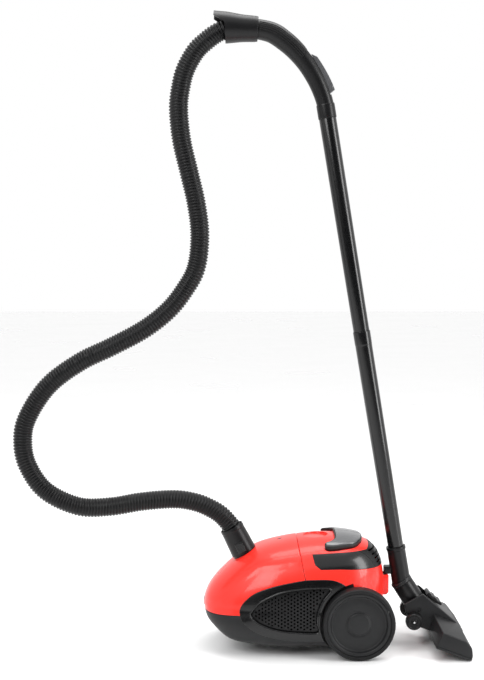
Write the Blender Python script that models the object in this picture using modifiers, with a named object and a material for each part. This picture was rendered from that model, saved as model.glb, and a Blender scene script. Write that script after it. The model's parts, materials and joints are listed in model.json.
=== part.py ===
"""A canister vacuum cleaner with its wand parked on the back, as separate solids.

Metres, +Z up, floor at z = 0. +X runs from the nose to the parked wand, and the origin is the
bottom centre of the object without its hose.
"""

import math

import bmesh
import bpy
import numpy as np
from mathutils import Matrix, Vector

# ---- driving dimensions -------------------------------------------------------------------
WALL = 0.0025
GAP = 0.0003
BODY_CENTRE = (-0.085, 0.100)  # x, z that the side profile is drawn round
BODY_HALF_WIDTH = 0.1175
TOP_EXPONENT = 2.4  # roundness of the cross section above and below its widest line
BOTTOM_EXPONENT = 5.0
BODY_CELLS = 8  # mesh cells along each side of the body's starting cube
BODY_PROFILE = [  # side silhouette as x, z, from the nose over the top and back underneath
    (-0.2725, 0.080), (-0.2640, 0.121), (-0.2430, 0.149), (-0.2150, 0.175), (-0.1645, 0.206),
    (-0.1115, 0.2215), (-0.0455, 0.2315), (-0.0100, 0.2325), (0.0281, 0.2300), (0.0570, 0.2235),
    (0.0795, 0.212), (0.0925, 0.197), (0.1010, 0.176), (0.1050, 0.145), (0.1055, 0.105),
    (0.1000, 0.060), (0.0850, 0.030), (0.0550, 0.016), (0.0000, 0.0125), (-0.0700, 0.0125),
    (-0.1400, 0.0145), (-0.1900, 0.021), (-0.2265, 0.030), (-0.2530, 0.049), (-0.2675, 0.064),
]

WHEEL = Vector((0.0442, 0.0, 0.074))
WHEEL_RADIUS = 0.074
WHEEL_INNER_Y = 0.1012
WELL_RADIUS = 0.0785
WELL_Y = 0.0985
STUB_RADIUS = 0.0090

CASTOR = Vector((-0.165, 0.0, 0.0))
CASTOR_RADIUS = 0.0125
CASTOR_TRAIL = 0.008
CASTOR_POCKET_RADIUS = 0.030
CASTOR_POCKET_TOP = 0.038

SEAM_TOP = Vector((-0.0785, 0.0, 0.232))  # joint between lid and rear housing at the crown
SEAM_SLOPE = 0.217
LID_GAP = 0.0012
LID_PIVOT = Vector((-0.045, 0.0, 0.219))

VENT_OUTLINE = [  # outer edge of the side vent frame, x, z
    (-0.1975, 0.092), (-0.1955, 0.104), (-0.1845, 0.119), (-0.1627, 0.1353), (-0.1246, 0.1495),
    (-0.0756, 0.1600), (-0.0492, 0.1625), (-0.0145, 0.1620), (0.0060, 0.1560), (0.0240, 0.1440),
    (0.0240, 0.1000), (-0.0200, 0.0360), (-0.0752, 0.0360), (-0.1190, 0.0415), (-0.1518, 0.0500),
    (-0.1772, 0.0629), (-0.1917, 0.0760),
]
GRILLE_OUTLINE = [  # inner edge of the frame
    (-0.1755, 0.0920), (-0.1555, 0.1150), (-0.1155, 0.1350), (-0.0755, 0.1430), (-0.0445, 0.1450),
    (-0.0145, 0.1425), (-0.0290, 0.1230), (-0.0390, 0.0990), (-0.0420, 0.0760), (-0.0400, 0.0560),
    (-0.0835, 0.0560), (-0.1225, 0.0610), (-0.1555, 0.0730), (-0.1725, 0.0850),
]
BAND_OUTLINE = [  # glossy band that wraps round the back, x, z
    (-0.0490, 0.2080), (0.0000, 0.2100), (0.0660, 0.2110), (0.0735, 0.2170), (0.1300, 0.2170),
    (0.1300, 0.1730), (0.0750, 0.1765), (0.0060, 0.1815), (-0.0320, 0.1815), (-0.0440, 0.1900),
]
EXHAUST_HALF_WIDTH = 0.062
CONSOLE_HALF = [  # left half of the pedal console seen from above, x, y
    (0.0005, 0.0), (0.0005, -0.030), (-0.0020, -0.047), (-0.0100, -0.056), (-0.0195, -0.0605),
    (-0.0229, -0.0660), (-0.0205, -0.0715), (-0.0120, -0.0735), (0.0087, -0.0700),
    (0.0391, -0.0575), (0.0520, -0.040), (0.0580, -0.020), (0.0590, 0.0),
]
CONSOLE_BASE_TOP = 0.0035
CONSOLE_RIM_TOP = 0.0080
PEDAL_LOW = 0.0068
PEDAL_HIGH = 0.0098
RECESS = Vector((-0.038, 0.0, 0.2275))
RECESS_RADIUS = 0.026

INLET = Vector((-0.188, 0.0, 0.191))
INLET_AXIS = Vector((-math.sin(math.radians(26.7)), 0.0, math.cos(math.radians(26.7))))
HOSE_DIAMETER = 0.0405
CUFF_LENGTH = 0.0627
HOSE_IN_CUFF = 0.038

SLEEVE_LEFT = Vector((-0.2525, 0.0, 1.2862))
SLEEVE_RIGHT = Vector((-0.1608, 0.0, 1.2820))
WAND_TOP = Vector((-0.0172, 0.0, 1.101))
WAND_BOTTOM = Vector((0.1322, 0.0, 0.2054))
TUBE_JOINT = 0.445  # distance down the wand from its top to the joint between its tubes
TUBE_OVERLAP = 0.035
GRIP_ARC = Vector((-0.2994, 0.0, 1.0372))  # centre of the handle's long curve
SLIDER_INNER = 0.3145  # the bleed valve's slider, as radii of that curve
SLIDER_OUTER = 0.3210

SWIVEL_TILT = math.radians(33.0)
NECK_LENGTH = 0.0762
PIVOT_DROP = 0.062  # from the swivel down its axis to the head's pivot
BARREL_RADIUS = 0.023
BARREL_HALF = 0.030

HEAD_TIP = Vector((0.2725, 0.0, 0.0003))  # front bottom edge of the floor head
HEAD_TILT = math.radians(20.0)
HEAD_HALF_WIDTH = 0.131
HEAD_DEPTH = 0.078
HUMP_HALF_WIDTH = 0.036
HEAD_WHEEL = (-0.1194, 0.0167)
HEAD_WHEEL_RADIUS = 0.0173

MOTOR = Vector((0.0, -0.030, 0.090))
REEL = Vector((0.012, 0.0, 0.110))

WAND_AXIS = (WAND_BOTTOM - WAND_TOP).normalized()
WAND_LENGTH = (WAND_BOTTOM - WAND_TOP).length
SWIVEL = WAND_TOP + WAND_AXIS * (WAND_LENGTH + NECK_LENGTH)
SWIVEL_AXIS = Vector((math.sin(SWIVEL_TILT), 0.0, -math.cos(SWIVEL_TILT)))
HEAD_PIVOT = SWIVEL + SWIVEL_AXIS * PIVOT_DROP
HEAD_FRAME = Matrix.Translation(HEAD_TIP) @ Matrix.Rotation(HEAD_TILT, 4, "Y")
X, Y, Z = Vector((1, 0, 0)), Vector((0, 1, 0)), Vector((0, 0, 1))

# ---- scene and materials ------------------------------------------------------------------
for old in list(bpy.data.objects):
    bpy.data.objects.remove(old)
PARTS = bpy.data.collections.new("canister_vacuum")
CUTTERS = bpy.data.collections.new("cutters")
bpy.context.scene.collection.children.link(PARTS)
bpy.context.scene.collection.children.link(CUTTERS)


def material(name, colour, roughness, metallic=0.0):
    made = bpy.data.materials.new(name)
    made.use_nodes = True
    shader = made.node_tree.nodes["Principled BSDF"]
    shader.inputs["Base Color"].default_value = (*colour, 1.0)
    shader.inputs["Roughness"].default_value = roughness
    shader.inputs["Metallic"].default_value = metallic
    return made


RED = material("red_gloss_shell", (0.85, 0.045, 0.030), 0.22)
DARK = material("dark_matte_plastic", (0.030, 0.031, 0.033), 0.55)
BLACK = material("black_gloss_plastic", (0.010, 0.011, 0.012), 0.18)
SATIN = material("black_satin_plastic", (0.018, 0.018, 0.020), 0.38)
GREY = material("grey_pedal_plastic", (0.30, 0.30, 0.31), 0.25)
RUBBER = material("black_rubber", (0.022, 0.022, 0.023), 0.70)
STEEL = material("bright_steel", (0.62, 0.62, 0.63), 0.25, 1.0)
PAPER = material("dust_bag_paper", (0.55, 0.45, 0.33), 0.90)
FOAM = material("filter_foam", (0.16, 0.19, 0.22), 0.95)
INNER = material("inner_plastic", (0.20, 0.20, 0.21), 0.60)
BOARD = material("circuit_board_green", (0.02, 0.16, 0.07), 0.45)
BRISTLE = material("bristle_fibre", (0.05, 0.05, 0.05), 0.85)


# ---- modelling tools ----------------------------------------------------------------------
def add(name, mesh, finish=None, matrix=None):
    """A new object of this mesh: a part if it has a finish, or else a hidden cutter."""
    made = bpy.data.objects.new(name, mesh)
    if finish:
        mesh.materials.clear()
        mesh.materials.append(finish)
        PARTS.objects.link(made)
    else:
        made.hide_render = True
        made.display_type = "WIRE"
        CUTTERS.objects.link(made)
    if matrix:
        made.matrix_world = matrix
    return made


def mesh_from(form, name):
    bmesh.ops.recalc_face_normals(form, faces=form.faces)
    mesh = bpy.data.meshes.new(name)
    form.to_mesh(mesh)
    form.free()
    return mesh


def boolean(target, operation, *tools):
    for tool in tools:
        modifier = target.modifiers.new(f"{operation.lower()}_{tool.name}", "BOOLEAN")
        modifier.operation = operation
        modifier.object = tool
    return target


def cut(target, *tools):
    return boolean(target, "DIFFERENCE", *tools)


def join(target, *tools):
    return boolean(target, "UNION", *tools)


def keep(target, *tools):
    return boolean(target, "INTERSECT", *tools)


def manifold(target):
    """Sets the Manifold solver, for shells whose many nearly parallel faces the Exact solver loses."""
    for modifier in target.modifiers:
        if modifier.type == "BOOLEAN":
            modifier.solver = "MANIFOLD"
    return target


def box(name, low, high, finish=None, matrix=None, bevel=0.0):
    form = bmesh.new()
    bmesh.ops.create_cube(form, size=1.0)
    low, high = Vector(low), Vector(high)
    for vertex in form.verts:
        vertex.co = (low + high) / 2 + vertex.co * (high - low)
    made = add(name, mesh_from(form, name), finish, matrix)
    if bevel:
        modifier = made.modifiers.new("rounding", "BEVEL")
        modifier.width = bevel
        modifier.segments = 2
    return made


def prism(name, outline, low_y, high_y, finish=None, matrix=None):
    """An x, z outline carried along Y."""
    form = bmesh.new()
    face = form.faces.new([form.verts.new((x, low_y, z)) for x, z in outline])
    side = bmesh.ops.extrude_face_region(form, geom=[face])
    for item in side["geom"]:
        if isinstance(item, bmesh.types.BMVert):
            item.co.y = high_y
    return add(name, mesh_from(form, name), finish, matrix)


def column(name, outline, low_z, high_z, finish=None, matrix=None):
    """An x, y outline carried along Z."""
    form = bmesh.new()
    face = form.faces.new([form.verts.new((x, y, low_z)) for x, y in outline])
    side = bmesh.ops.extrude_face_region(form, geom=[face])
    for item in side["geom"]:
        if isinstance(item, bmesh.types.BMVert):
            item.co.z = high_z
    return add(name, mesh_from(form, name), finish, matrix)


def on_axis(point, direction):
    """The matrix that puts local +Z along a direction, with its zero at the point."""
    return Matrix.Translation(point) @ Vector(direction).to_track_quat("Z", "Y").to_matrix().to_4x4()


def turned(name, profile, point, direction, finish=None, steps=24):
    """A closed r, h profile turned round the axis; it runs down its outer side."""
    form = bmesh.new()
    corners = [form.verts.new((r, 0.0, h)) for r, h in profile]
    for index, corner in enumerate(corners):
        following = corners[(index + 1) % len(corners)]
        if corner.co.x > 1e-6 or following.co.x > 1e-6:
            form.edges.new((corner, following))
    mesh = bpy.data.meshes.new(name)
    form.to_mesh(mesh)
    form.free()
    made = add(name, mesh, finish, on_axis(point, direction))
    screw = made.modifiers.new("turn", "SCREW")
    screw.steps = screw.render_steps = steps
    screw.use_merge_vertices = True
    screw.merge_threshold = 0.00001
    return made


def rod(name, radius, low, high, point, direction, finish=None, steps=20):
    return turned(name, [(0, high), (radius, high), (radius, low), (0, low)], point, direction, finish, steps)


def ring(name, inner, outer, low, high, point, direction, finish=None, steps=24):
    profile = [(outer, high), (outer, low), (inner, low), (inner, high)]
    return turned(name, profile, point, direction, finish, steps)


def smooth_route(points, count):
    """Evenly spread points on a Catmull-Rom curve through the route's own points."""
    knots = [Vector(p) for p in points]
    knots = [2 * knots[0] - knots[1], *knots, 2 * knots[-1] - knots[-2]]
    fine = []
    for a, b, c, d in zip(knots, knots[1:], knots[2:], knots[3:]):
        for step in range(16):
            t = step / 16
            fine.append(
                0.5 * ((2 * b) + (c - a) * t + (2 * a - 5 * b + 4 * c - d) * t * t
                       + (3 * b - a - 3 * c + d) * t * t * t)
            )
    fine.append(knots[-2])
    lengths = np.cumsum([0.0] + [(q - p).length for p, q in zip(fine, fine[1:])])
    wanted = np.linspace(0.0, lengths[-1], count)
    spread = [np.interp(wanted, lengths, [p[axis] for p in fine]) for axis in range(3)]
    return [Vector(p) for p in zip(*spread)]


def tube_curve(name, route, radii, sides):
    """A curve object with filled caps; radii gives one radius for each point of the route."""
    data = bpy.data.curves.new(name, "CURVE")
    data.dimensions = "3D"
    data.bevel_depth = 1.0
    data.bevel_resolution = sides
    data.use_fill_caps = True
    spline = data.splines.new("POLY")
    spline.points.add(len(route) - 1)
    for point, place, radius in zip(spline.points, route, radii):
        point.co = (*place, 1.0)
        point.radius = radius
    return bpy.data.objects.new(name, data)


def tube_mesh(name, route, radii, sides, finish=None):
    """The same tube as a welded mesh, for Booleans."""
    curve = tube_curve(name, route, radii, sides)
    CUTTERS.objects.link(curve)
    graph = bpy.context.evaluated_depsgraph_get()
    mesh = bpy.data.meshes.new_from_object(curve.evaluated_get(graph))
    bpy.data.objects.remove(curve)
    form = bmesh.new()
    form.from_mesh(mesh)
    bmesh.ops.remove_doubles(form, verts=form.verts, dist=0.00001)
    return add(name, mesh_from(form, name), finish)


# ---- the body's form ----------------------------------------------------------------------
def periodic_spline(angles, values):
    """Slopes of the smooth closed curve through the values."""
    count = len(angles)
    steps = np.diff(np.append(angles, angles[0] + 2 * math.pi))
    rises = np.diff(np.append(values, values[0])) / steps
    system = np.zeros((count, count))
    right = np.zeros(count)
    for i in range(count):
        before, after = steps[i - 1], steps[i]
        system[i, i] = 2 * (before + after)
        system[i, (i + 1) % count] += before
        system[i, (i - 1) % count] += after
        right[i] = 3 * (after * rises[i - 1] + before * rises[i])
    return np.linalg.solve(system, right), steps


PROFILE_POINTS = np.array(BODY_PROFILE) - np.array(BODY_CENTRE)
PROFILE_ANGLES = np.arctan2(PROFILE_POINTS[:, 1], PROFILE_POINTS[:, 0])
PROFILE_ORDER = np.argsort(PROFILE_ANGLES)
PROFILE_ANGLES = PROFILE_ANGLES[PROFILE_ORDER]
PROFILE_RADII = np.hypot(*PROFILE_POINTS.T)[PROFILE_ORDER]
PROFILE_SLOPES, PROFILE_STEPS = periodic_spline(PROFILE_ANGLES, PROFILE_RADII)


def profile_radius(angle):
    """Distance from the body's centre line to its side silhouette in this direction."""
    angle = (angle - PROFILE_ANGLES[0]) % (2 * math.pi) + PROFILE_ANGLES[0]
    i = min(max(np.searchsorted(PROFILE_ANGLES, angle, side="right") - 1, 0), len(PROFILE_ANGLES) - 1)
    j = (i + 1) % len(PROFILE_ANGLES)
    u = (angle - PROFILE_ANGLES[i]) / PROFILE_STEPS[i]
    return (
        (2 * u**3 - 3 * u**2 + 1) * PROFILE_RADII[i]
        + (u**3 - 2 * u**2 + u) * PROFILE_SLOPES[i] * PROFILE_STEPS[i]
        + (3 * u**2 - 2 * u**3) * PROFILE_RADII[j]
        + (u**3 - u**2) * PROFILE_SLOPES[j] * PROFILE_STEPS[i]
    )


def body_point(direction, offset):
    """Where a ray from the body's centre meets its surface, moved out by the offset."""
    angle = math.atan2(direction.z, direction.x)
    below = min(max(-math.sin(angle) * 1.6, 0.0), 1.0)
    blend = below * below * (3 - 2 * below)
    power = TOP_EXPONENT + (BOTTOM_EXPONENT - TOP_EXPONENT) * blend
    across = abs(direction.y) / (BODY_HALF_WIDTH + offset)
    along = math.hypot(direction.x, direction.z) / (profile_radius(angle) + offset)
    reach = (across**power + along**power) ** (-1 / power)
    return Vector((BODY_CENTRE[0], 0.0, BODY_CENTRE[1])) + direction * reach


def body(name, offset, finish=None):
    """The canister's closed outer form, from a subdivided cube."""
    form = bmesh.new()
    bmesh.ops.create_cube(form, size=2.0)
    bmesh.ops.subdivide_edges(form, edges=form.edges, cuts=BODY_CELLS - 1, use_grid_fill=True)
    for vertex in form.verts:
        even = Vector([math.tan(c * math.pi / 4) for c in vertex.co])
        vertex.co = body_point(even * Vector((0.19, 0.1175, 0.11)), offset)
    bmesh.ops.triangulate(form, faces=form.faces, quad_method="FIXED")  # the same at every offset
    return add(name, mesh_from(form, name), finish)


def layer(name, low, high, finish, *regions):
    """The skin between two offsets of the body's form, kept inside each region."""
    made = body(name, high, finish)
    for region in regions:
        keep(made, region)
    return cut(made, inner_form(low))


INNER_FORMS = {}


def inner_form(offset):
    if offset not in INNER_FORMS:
        INNER_FORMS[offset] = body(f"form_{offset * 1e4:+.0f}", offset)
    return INNER_FORMS[offset]


def grown(outline, distance):
    """The outline moved outwards; its corners run either way round."""
    points = [Vector(p) for p in outline]
    area = sum(a.x * b.y - b.x * a.y for a, b in zip(points, points[1:] + points[:1]))
    sign = 1.0 if area > 0 else -1.0
    moved = []
    for index, point in enumerate(points):
        before = (point - points[index - 1]).normalized()
        after = (points[(index + 1) % len(points)] - point).normalized()
        normal = Vector((before.y + after.y, -before.x - after.x))
        normal = normal.normalized() if normal.length > 1e-6 else Vector((before.y, -before.x))
        stretch = max(0.5, normal.dot(Vector((after.y, -after.x))))
        moved.append(tuple(point + normal * sign * distance / stretch))
    return moved


# ---- cutters that several shells share ----------------------------------------------------
SPLIT_FRONT = [(-0.3000, 0.0760), (-0.1980, 0.0865)]
SPLIT_REAR = [(0.0600, 0.1000), (0.1300, 0.1000)]
SPLIT = [*SPLIT_FRONT, *VENT_OUTLINE[1:10], *SPLIT_REAR]


def shared_cutters():
    """Side regions, wheel wells and the hollow inside, by name."""
    lifted = [(x, z + 0.0006) for x, z in SPLIT]
    below = prism("below_split", [(-0.30, -0.05), *SPLIT, (0.13, -0.05)], -0.2, 0.2)
    above = prism("above_split", [(-0.30, 0.30), *lifted, (0.13, 0.30)], -0.2, 0.2)
    vents = prism("vent_hole", grown(VENT_OUTLINE, GAP), -0.2, 0.2)
    centre = box("vent_hole_stop", (-0.25, -0.07, 0.0), (0.1, 0.07, 0.2))
    cut(vents, centre)
    wells = []
    for side, word in ((-1, "left"), (1, "right")):
        place = Vector((WHEEL.x, side * WELL_Y, WHEEL.z))
        wells.append(rod(f"{word}_well", WELL_RADIUS, 0.0, 0.08, place, side * Y, steps=40))
    pocket = rod("castor_pocket", CASTOR_POCKET_RADIUS, -0.01, CASTOR_POCKET_TOP, CASTOR, Z, steps=28)
    hollow = body("hollow", -WALL)
    for side, word in ((-1, "left"), (1, "right")):
        place = Vector((WHEEL.x, side * (WELL_Y - WALL), WHEEL.z))
        cut(hollow, rod(f"{word}_well_wall", WELL_RADIUS + WALL, 0.0, 0.08, place, side * Y, steps=40))
    cut(
        hollow,
        rod("pocket_wall", CASTOR_POCKET_RADIUS + WALL, -0.01, CASTOR_POCKET_TOP + WALL, CASTOR, Z),
        rod("recess_wall", RECESS_RADIUS + WALL, -0.0035, 0.03, RECESS, Z),
    )
    slant = SEAM_SLOPE * 0.3
    seam = [(SEAM_TOP.x, SEAM_TOP.z), (SEAM_TOP.x + slant, SEAM_TOP.z - 0.3)]
    seam = [(SEAM_TOP.x - SEAM_SLOPE * 0.03, SEAM_TOP.z + 0.03), seam[1]]
    front = prism("lid_side", [(x - LID_GAP, z) for x, z in seam] + [(-0.4, -0.07), (-0.4, 0.27)], -0.2, 0.2)
    rear = prism("rear_side", [*seam, (0.2, -0.07), (0.2, 0.27)], -0.2, 0.2)
    return {
        "below": below, "above": above, "vents": vents, "wells": wells, "pocket": pocket,
        "hollow": hollow, "front": front, "rear": rear,
    }


SHARED = shared_cutters()


# ---- canister shells ----------------------------------------------------------------------
def lower_chassis():
    made = keep(body("lower_chassis", 0.0, DARK), SHARED["below"])
    cut(made, SHARED["hollow"], *SHARED["wells"], SHARED["pocket"], SHARED["vents"])
    cut(made, rod("castor_pin_hole", 0.0043, 0.03, 0.06, CASTOR, Z, steps=16))
    for side, word in ((-1, "left"), (1, "right")):
        place = Vector((WHEEL.x, side * (WELL_Y - 0.002), WHEEL.z))
        join(made, rod(f"{word}_stub", STUB_RADIUS, 0.0, 0.0208, place, side * Y))
    join(made, box("flat_foot", (-0.0850, -0.0350, 0.0110), (-0.0150, 0.0350, 0.0142)))
    manifold(made)


def rear_housing():
    made = keep(body("rear_housing", 0.0, RED), SHARED["above"], SHARED["rear"])
    bracket = box("bracket_block", (0.0950, -0.018, 0.1050), (0.1162, 0.018, 0.1470))
    band = prism("band_hole", grown(BAND_OUTLINE, GAP), -0.2, 0.2)
    cut(made, SHARED["hollow"], *SHARED["wells"], SHARED["vents"], band)
    join(made, bracket)
    cut(
        made,
        box("bracket_slot", (0.1062, -0.0125, 0.1180), (0.1116, 0.0125, 0.1500)),
        rod("thumb_recess", RECESS_RADIUS, 0.0, 0.03, RECESS, Z, steps=28),
        rod("cord_hole", 0.0062, 0.07, 0.13, (0.0, 0.045, 0.120), X),
    )
    manifold(made)


def rear_trim():
    outline = prism("band_region", BAND_OUTLINE, -0.2, 0.2)
    middle = box("exhaust_region", (0.02, -EXHAUST_HALF_WIDTH, 0.15), (0.2, EXHAUST_HALF_WIDTH, 0.25))
    wide = EXHAUST_HALF_WIDTH + GAP
    middle_hole = box("exhaust_hole", (0.02, -wide, 0.15), (0.2, wide, 0.25))
    for side, word in ((-1, "left"), (1, "right")):
        half = box(f"{word}_half", (-0.3, min(0, side * 0.2), 0.0), (0.2, max(0, side * 0.2), 0.3))
        manifold(cut(layer(f"{word}_trim_band", -WALL, 0.0008, BLACK, outline, half), middle_hole))
    louvres = layer("exhaust_grille", -WALL, 0.0004, SATIN, outline, middle)
    for row in range(4):
        z = 0.1830 + row * 0.0078
        cut(louvres, box(f"exhaust_slot_{row}", (0.06, -0.050, z), (0.2, 0.050, z + 0.0030)))
    manifold(louvres)


def side_vents():
    """On each side a frame let into the shells, and a grille panel behind it."""
    frame = prism("frame_region", VENT_OUTLINE, -0.2, 0.2)
    window = prism("frame_window", GRILLE_OUTLINE, -0.2, 0.2)
    panel = prism("grille_region", grown(GRILLE_OUTLINE, 0.003), -0.2, 0.2)
    for side, word in ((-1, "left"), (1, "right")):
        half = box(f"{word}_vent_half", (-0.3, min(0, side * 0.2), 0.0), (0.2, max(0, side * 0.2), 0.3))
        clear = Vector((WHEEL.x, side * 0.06, WHEEL.z))
        arch = rod(f"{word}_arch", WELL_RADIUS + 0.0005, 0.0, 0.12, clear, side * Y, steps=40)
        manifold(cut(layer(f"{word}_vent_frame", -0.0030, 0.0015, BLACK, frame, half), window, arch))
        inner_arch = rod(f"{word}_inner_arch", WELL_RADIUS + 0.0035, 0.0, 0.12, clear, side * Y, steps=40)
        manifold(cut(layer(f"{word}_vent_grille", -0.0060, -0.0039, SATIN, panel, half), inner_arch))


def lid():
    made = keep(body("front_lid", 0.0, RED), SHARED["above"], SHARED["front"])
    cut(made, SHARED["hollow"], SHARED["vents"])
    cut(made, rod("inlet_hole", 0.0245, -0.04, 0.04, INLET, INLET_AXIS, steps=28))
    cut(made, box("latch_hole", (-0.30, -0.0146, 0.0834), (-0.24, 0.0146, 0.0996)))
    arm = [
        (-0.0500, 0.0068), (-0.0395, 0.0068), (-0.0385, -0.0040), (-0.0370, -0.0130),
        (-0.0310, -0.0260), (-0.0220, -0.0300), (-0.0045, -0.0050), (-0.0040, 0.0010),
        (-0.0028, 0.0030), (0.0028, 0.0030), (0.0040, 0.0010), (0.0050, -0.0070),
        (-0.0180, -0.0355), (-0.0360, -0.0310), (-0.0430, -0.0150), (-0.0450, -0.0030),
    ]
    outline = [(LID_PIVOT.x + x, LID_PIVOT.z + z) for x, z in arm]
    bore = rod("hinge_bore", 0.0021, -0.06, 0.06, LID_PIVOT, Y, steps=16)
    for side, word in ((-1, "left"), (1, "right")):
        low, high = sorted((side * 0.034, side * 0.040))
        join(made, keep(prism(f"{word}_hinge_arm", outline, low, high), inner_form(-WALL / 2)))
    cut(made, bore)
    rod("lid_hinge_pin", 0.0018, -0.0425, 0.0425, LID_PIVOT, Y, STEEL, steps=12)
    ring("bag_full_window", 0.0015, 0.0045, -0.0036, 0.0, (-0.1144, 0.0, 0.2212), (-0.26, 0, 1), BLACK, 16)
    cut(made, rod("window_hole", 0.0048, -0.01, 0.01, (-0.1144, 0.0, 0.2212), (-0.26, 0, 1), steps=16))
    manifold(made)
    strip = [(x, z + 0.0012) for x, z in SPLIT] + [(x, z + 0.0062) for x, z in reversed(SPLIT)]
    seal_region = prism("seal_region", strip, -0.2, 0.2)
    stop = box("seal_stop", (-0.10, -0.2, 0.0), (0.2, 0.2, 0.3))
    latch_room = box("seal_latch_room", (-0.30, -0.0165, 0.0832), (-0.24, 0.0165, 0.2))
    manifold(cut(layer("lid_seal", -0.0062, -0.0034, RUBBER, seal_region), stop, latch_room))


def latch():
    window = box("latch_region", (-0.30, -0.0140, 0.0840), (-0.262, 0.0140, 0.0990))
    button = layer("lid_latch", -0.0060, 0.0015, BLACK, window)
    join(button, box("latch_tongue", (-0.2695, -0.0090, 0.0860), (-0.2560, 0.0090, 0.0900)))


def pedals():
    """The U-shaped console on the crown and the two pedals that fill it."""
    mirrored = [(x, -y) for x, y in reversed(CONSOLE_HALF[1:-1])]
    outline = CONSOLE_HALF + mirrored
    inner = grown(outline, -0.0018)
    region = column("console_region", outline, 0.15, 0.30)
    basin = keep(body("console_basin", 0.02), column("basin_region", inner, 0.15, 0.30))
    cut(basin, inner_form(CONSOLE_BASE_TOP))
    base = keep(body("pedal_console", CONSOLE_RIM_TOP, DARK), region)
    cut(base, inner_form(GAP), basin)
    top = column("pedal_region", grown(outline, -0.0023), 0.15, 0.30)
    for side, word in ((-1, "power"), (1, "rewind")):
        low, high = sorted((side * 0.0003, side * 0.2))
        half = box(f"{word}_half", (-0.3, low, 0.0), (0.2, high, 0.3))
        layer(f"{word}_pedal", PEDAL_LOW, PEDAL_HIGH, GREY, top, half)


# ---- wheels -------------------------------------------------------------------------------
def wheels():
    rim = [
        (0.0655, 0.0250), (0.0655, 0.0020), (0.0600, 0.0020), (0.0600, 0.0120), (0.0160, 0.0120),
        (0.0160, 0.0005), (0.0094, 0.0005), (0.0094, 0.0185), (0.0250, 0.0185), (0.0560, 0.0165),
        (0.0590, 0.0245), (0.0610, 0.0255),
    ]
    tyre = [
        (0.0700, 0.0288), (0.0728, 0.0275), (WHEEL_RADIUS, 0.0240), (WHEEL_RADIUS, 0.0045),
        (0.0725, 0.0015), (0.0700, 0.0005), (0.0658, 0.0012), (0.0658, 0.0275),
    ]
    cap = [(0.0, 0.0228), (0.0200, 0.0222), (0.0235, 0.0205), (0.0235, 0.0188), (0.0, 0.0188)]
    for side, word in ((-1, "left"), (1, "right")):
        place = Vector((WHEEL.x, side * WHEEL_INNER_Y, WHEEL.z))
        turned(f"{word}_wheel", rim, place, side * Y, DARK, steps=24)
        turned(f"{word}_tyre", tyre, place, side * Y, RUBBER, steps=32)
        turned(f"{word}_hub_cap", cap, place, side * Y, DARK, steps=20)


def castor():
    fork = rod("castor_fork", 0.0270, 0.0300, 0.0350, CASTOR, Z, DARK, steps=24)
    join(fork, rod("castor_pin", 0.0040, 0.0340, 0.0440, CASTOR, Z, steps=12))
    axle = CASTOR + X * CASTOR_TRAIL + Z * CASTOR_RADIUS
    for side, word in ((-1, "left"), (1, "right")):
        low, high = sorted((side * 0.0110, side * 0.0145))
        cheek = box(f"castor_{word}_cheek", (axle.x - 0.007, low, 0.0075), (axle.x + 0.007, high, 0.0310))
        join(fork, cheek)
    cut(fork, rod("castor_axle_hole", 0.0023, -0.02, 0.02, axle, Y, steps=12))
    cut(fork, rod("castor_room", 0.0140, -0.0107, 0.0107, axle, Y, steps=20))
    rod("castor_axle", 0.0020, -0.0148, 0.0148, axle, Y, STEEL, steps=12)
    rounded = [
        (0.0115, 0.0102), (CASTOR_RADIUS, 0.0085), (CASTOR_RADIUS, -0.0085), (0.0115, -0.0102),
        (0.0024, -0.0102), (0.0024, 0.0102),
    ]
    turned("castor_wheel", rounded, axle, Y, RUBBER, steps=20)


# ---- hose, cuff and inlet -----------------------------------------------------------------
def inlet():
    collar = [
        (0.0240, 0.0028), (0.0240, -0.0090), (0.0295, -0.0090), (0.0295, -0.0115),
        (0.0204, -0.0140), (0.0204, 0.0028),
    ]
    turned("inlet_collar", collar, INLET, INLET_AXIS, SATIN, steps=28)
    cuff = [
        (0.0250, CUFF_LENGTH), (0.0263, 0.0130), (0.0270, 0.0034), (0.0200, 0.0034),
        (0.0200, -0.0120), (0.0165, -0.0120), (0.0165, 0.0340), (0.0208, 0.0345),
        (0.0208, 0.0460), (0.0232, CUFF_LENGTH),
    ]
    made = turned("hose_cuff", cuff, INLET, INLET_AXIS, SATIN, steps=28)
    frame = on_axis(INLET, INLET_AXIS)
    side_way = frame.to_3x3().inverted() @ Y
    turn = Matrix.Rotation(math.atan2(side_way.y, side_way.x) - math.pi / 2, 4, "Z")
    for side, word in ((-1, "left"), (1, "right")):
        low, high = sorted((side * 0.0206, side * 0.0300))
        place = frame @ turn
        cut(made, box(f"{word}_tab_pocket", (-0.0094, low, 0.0076), (0.0094, high, 0.0304), matrix=place))
        low, high = sorted((side * 0.0236, side * 0.0272))
        box(f"{word}_release_tab", (-0.0090, low, 0.0080), (0.0090, high, 0.0300), SATIN, place)


HOSE_ROUTE = [  # x, z from inside the handle to inside the cuff, all at y = 0
    (-0.196, 1.2836), (-0.208, 1.2841), (-0.230, 1.2805), (-0.248, 1.2720), (-0.267, 1.2580),
    (-0.288, 1.2380), (-0.308, 1.2040), (-0.318, 1.1710), (-0.324, 1.1230), (-0.318, 1.0570),
    (-0.303, 0.9920), (-0.288, 0.9260), (-0.281, 0.8600), (-0.289, 0.7940), (-0.314, 0.7470),
    (-0.348, 0.7050), (-0.398, 0.6660), (-0.465, 0.6300), (-0.533, 0.5970), (-0.600, 0.5470),
    (-0.645, 0.4790), (-0.655, 0.4280), (-0.645, 0.3770), (-0.608, 0.3240), (-0.540, 0.2910),
    (-0.473, 0.2900), (-0.405, 0.3010), (-0.337, 0.3060), (-0.292, 0.2995), (-0.260, 0.2865),
    (-0.237, 0.2715),
]


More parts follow.
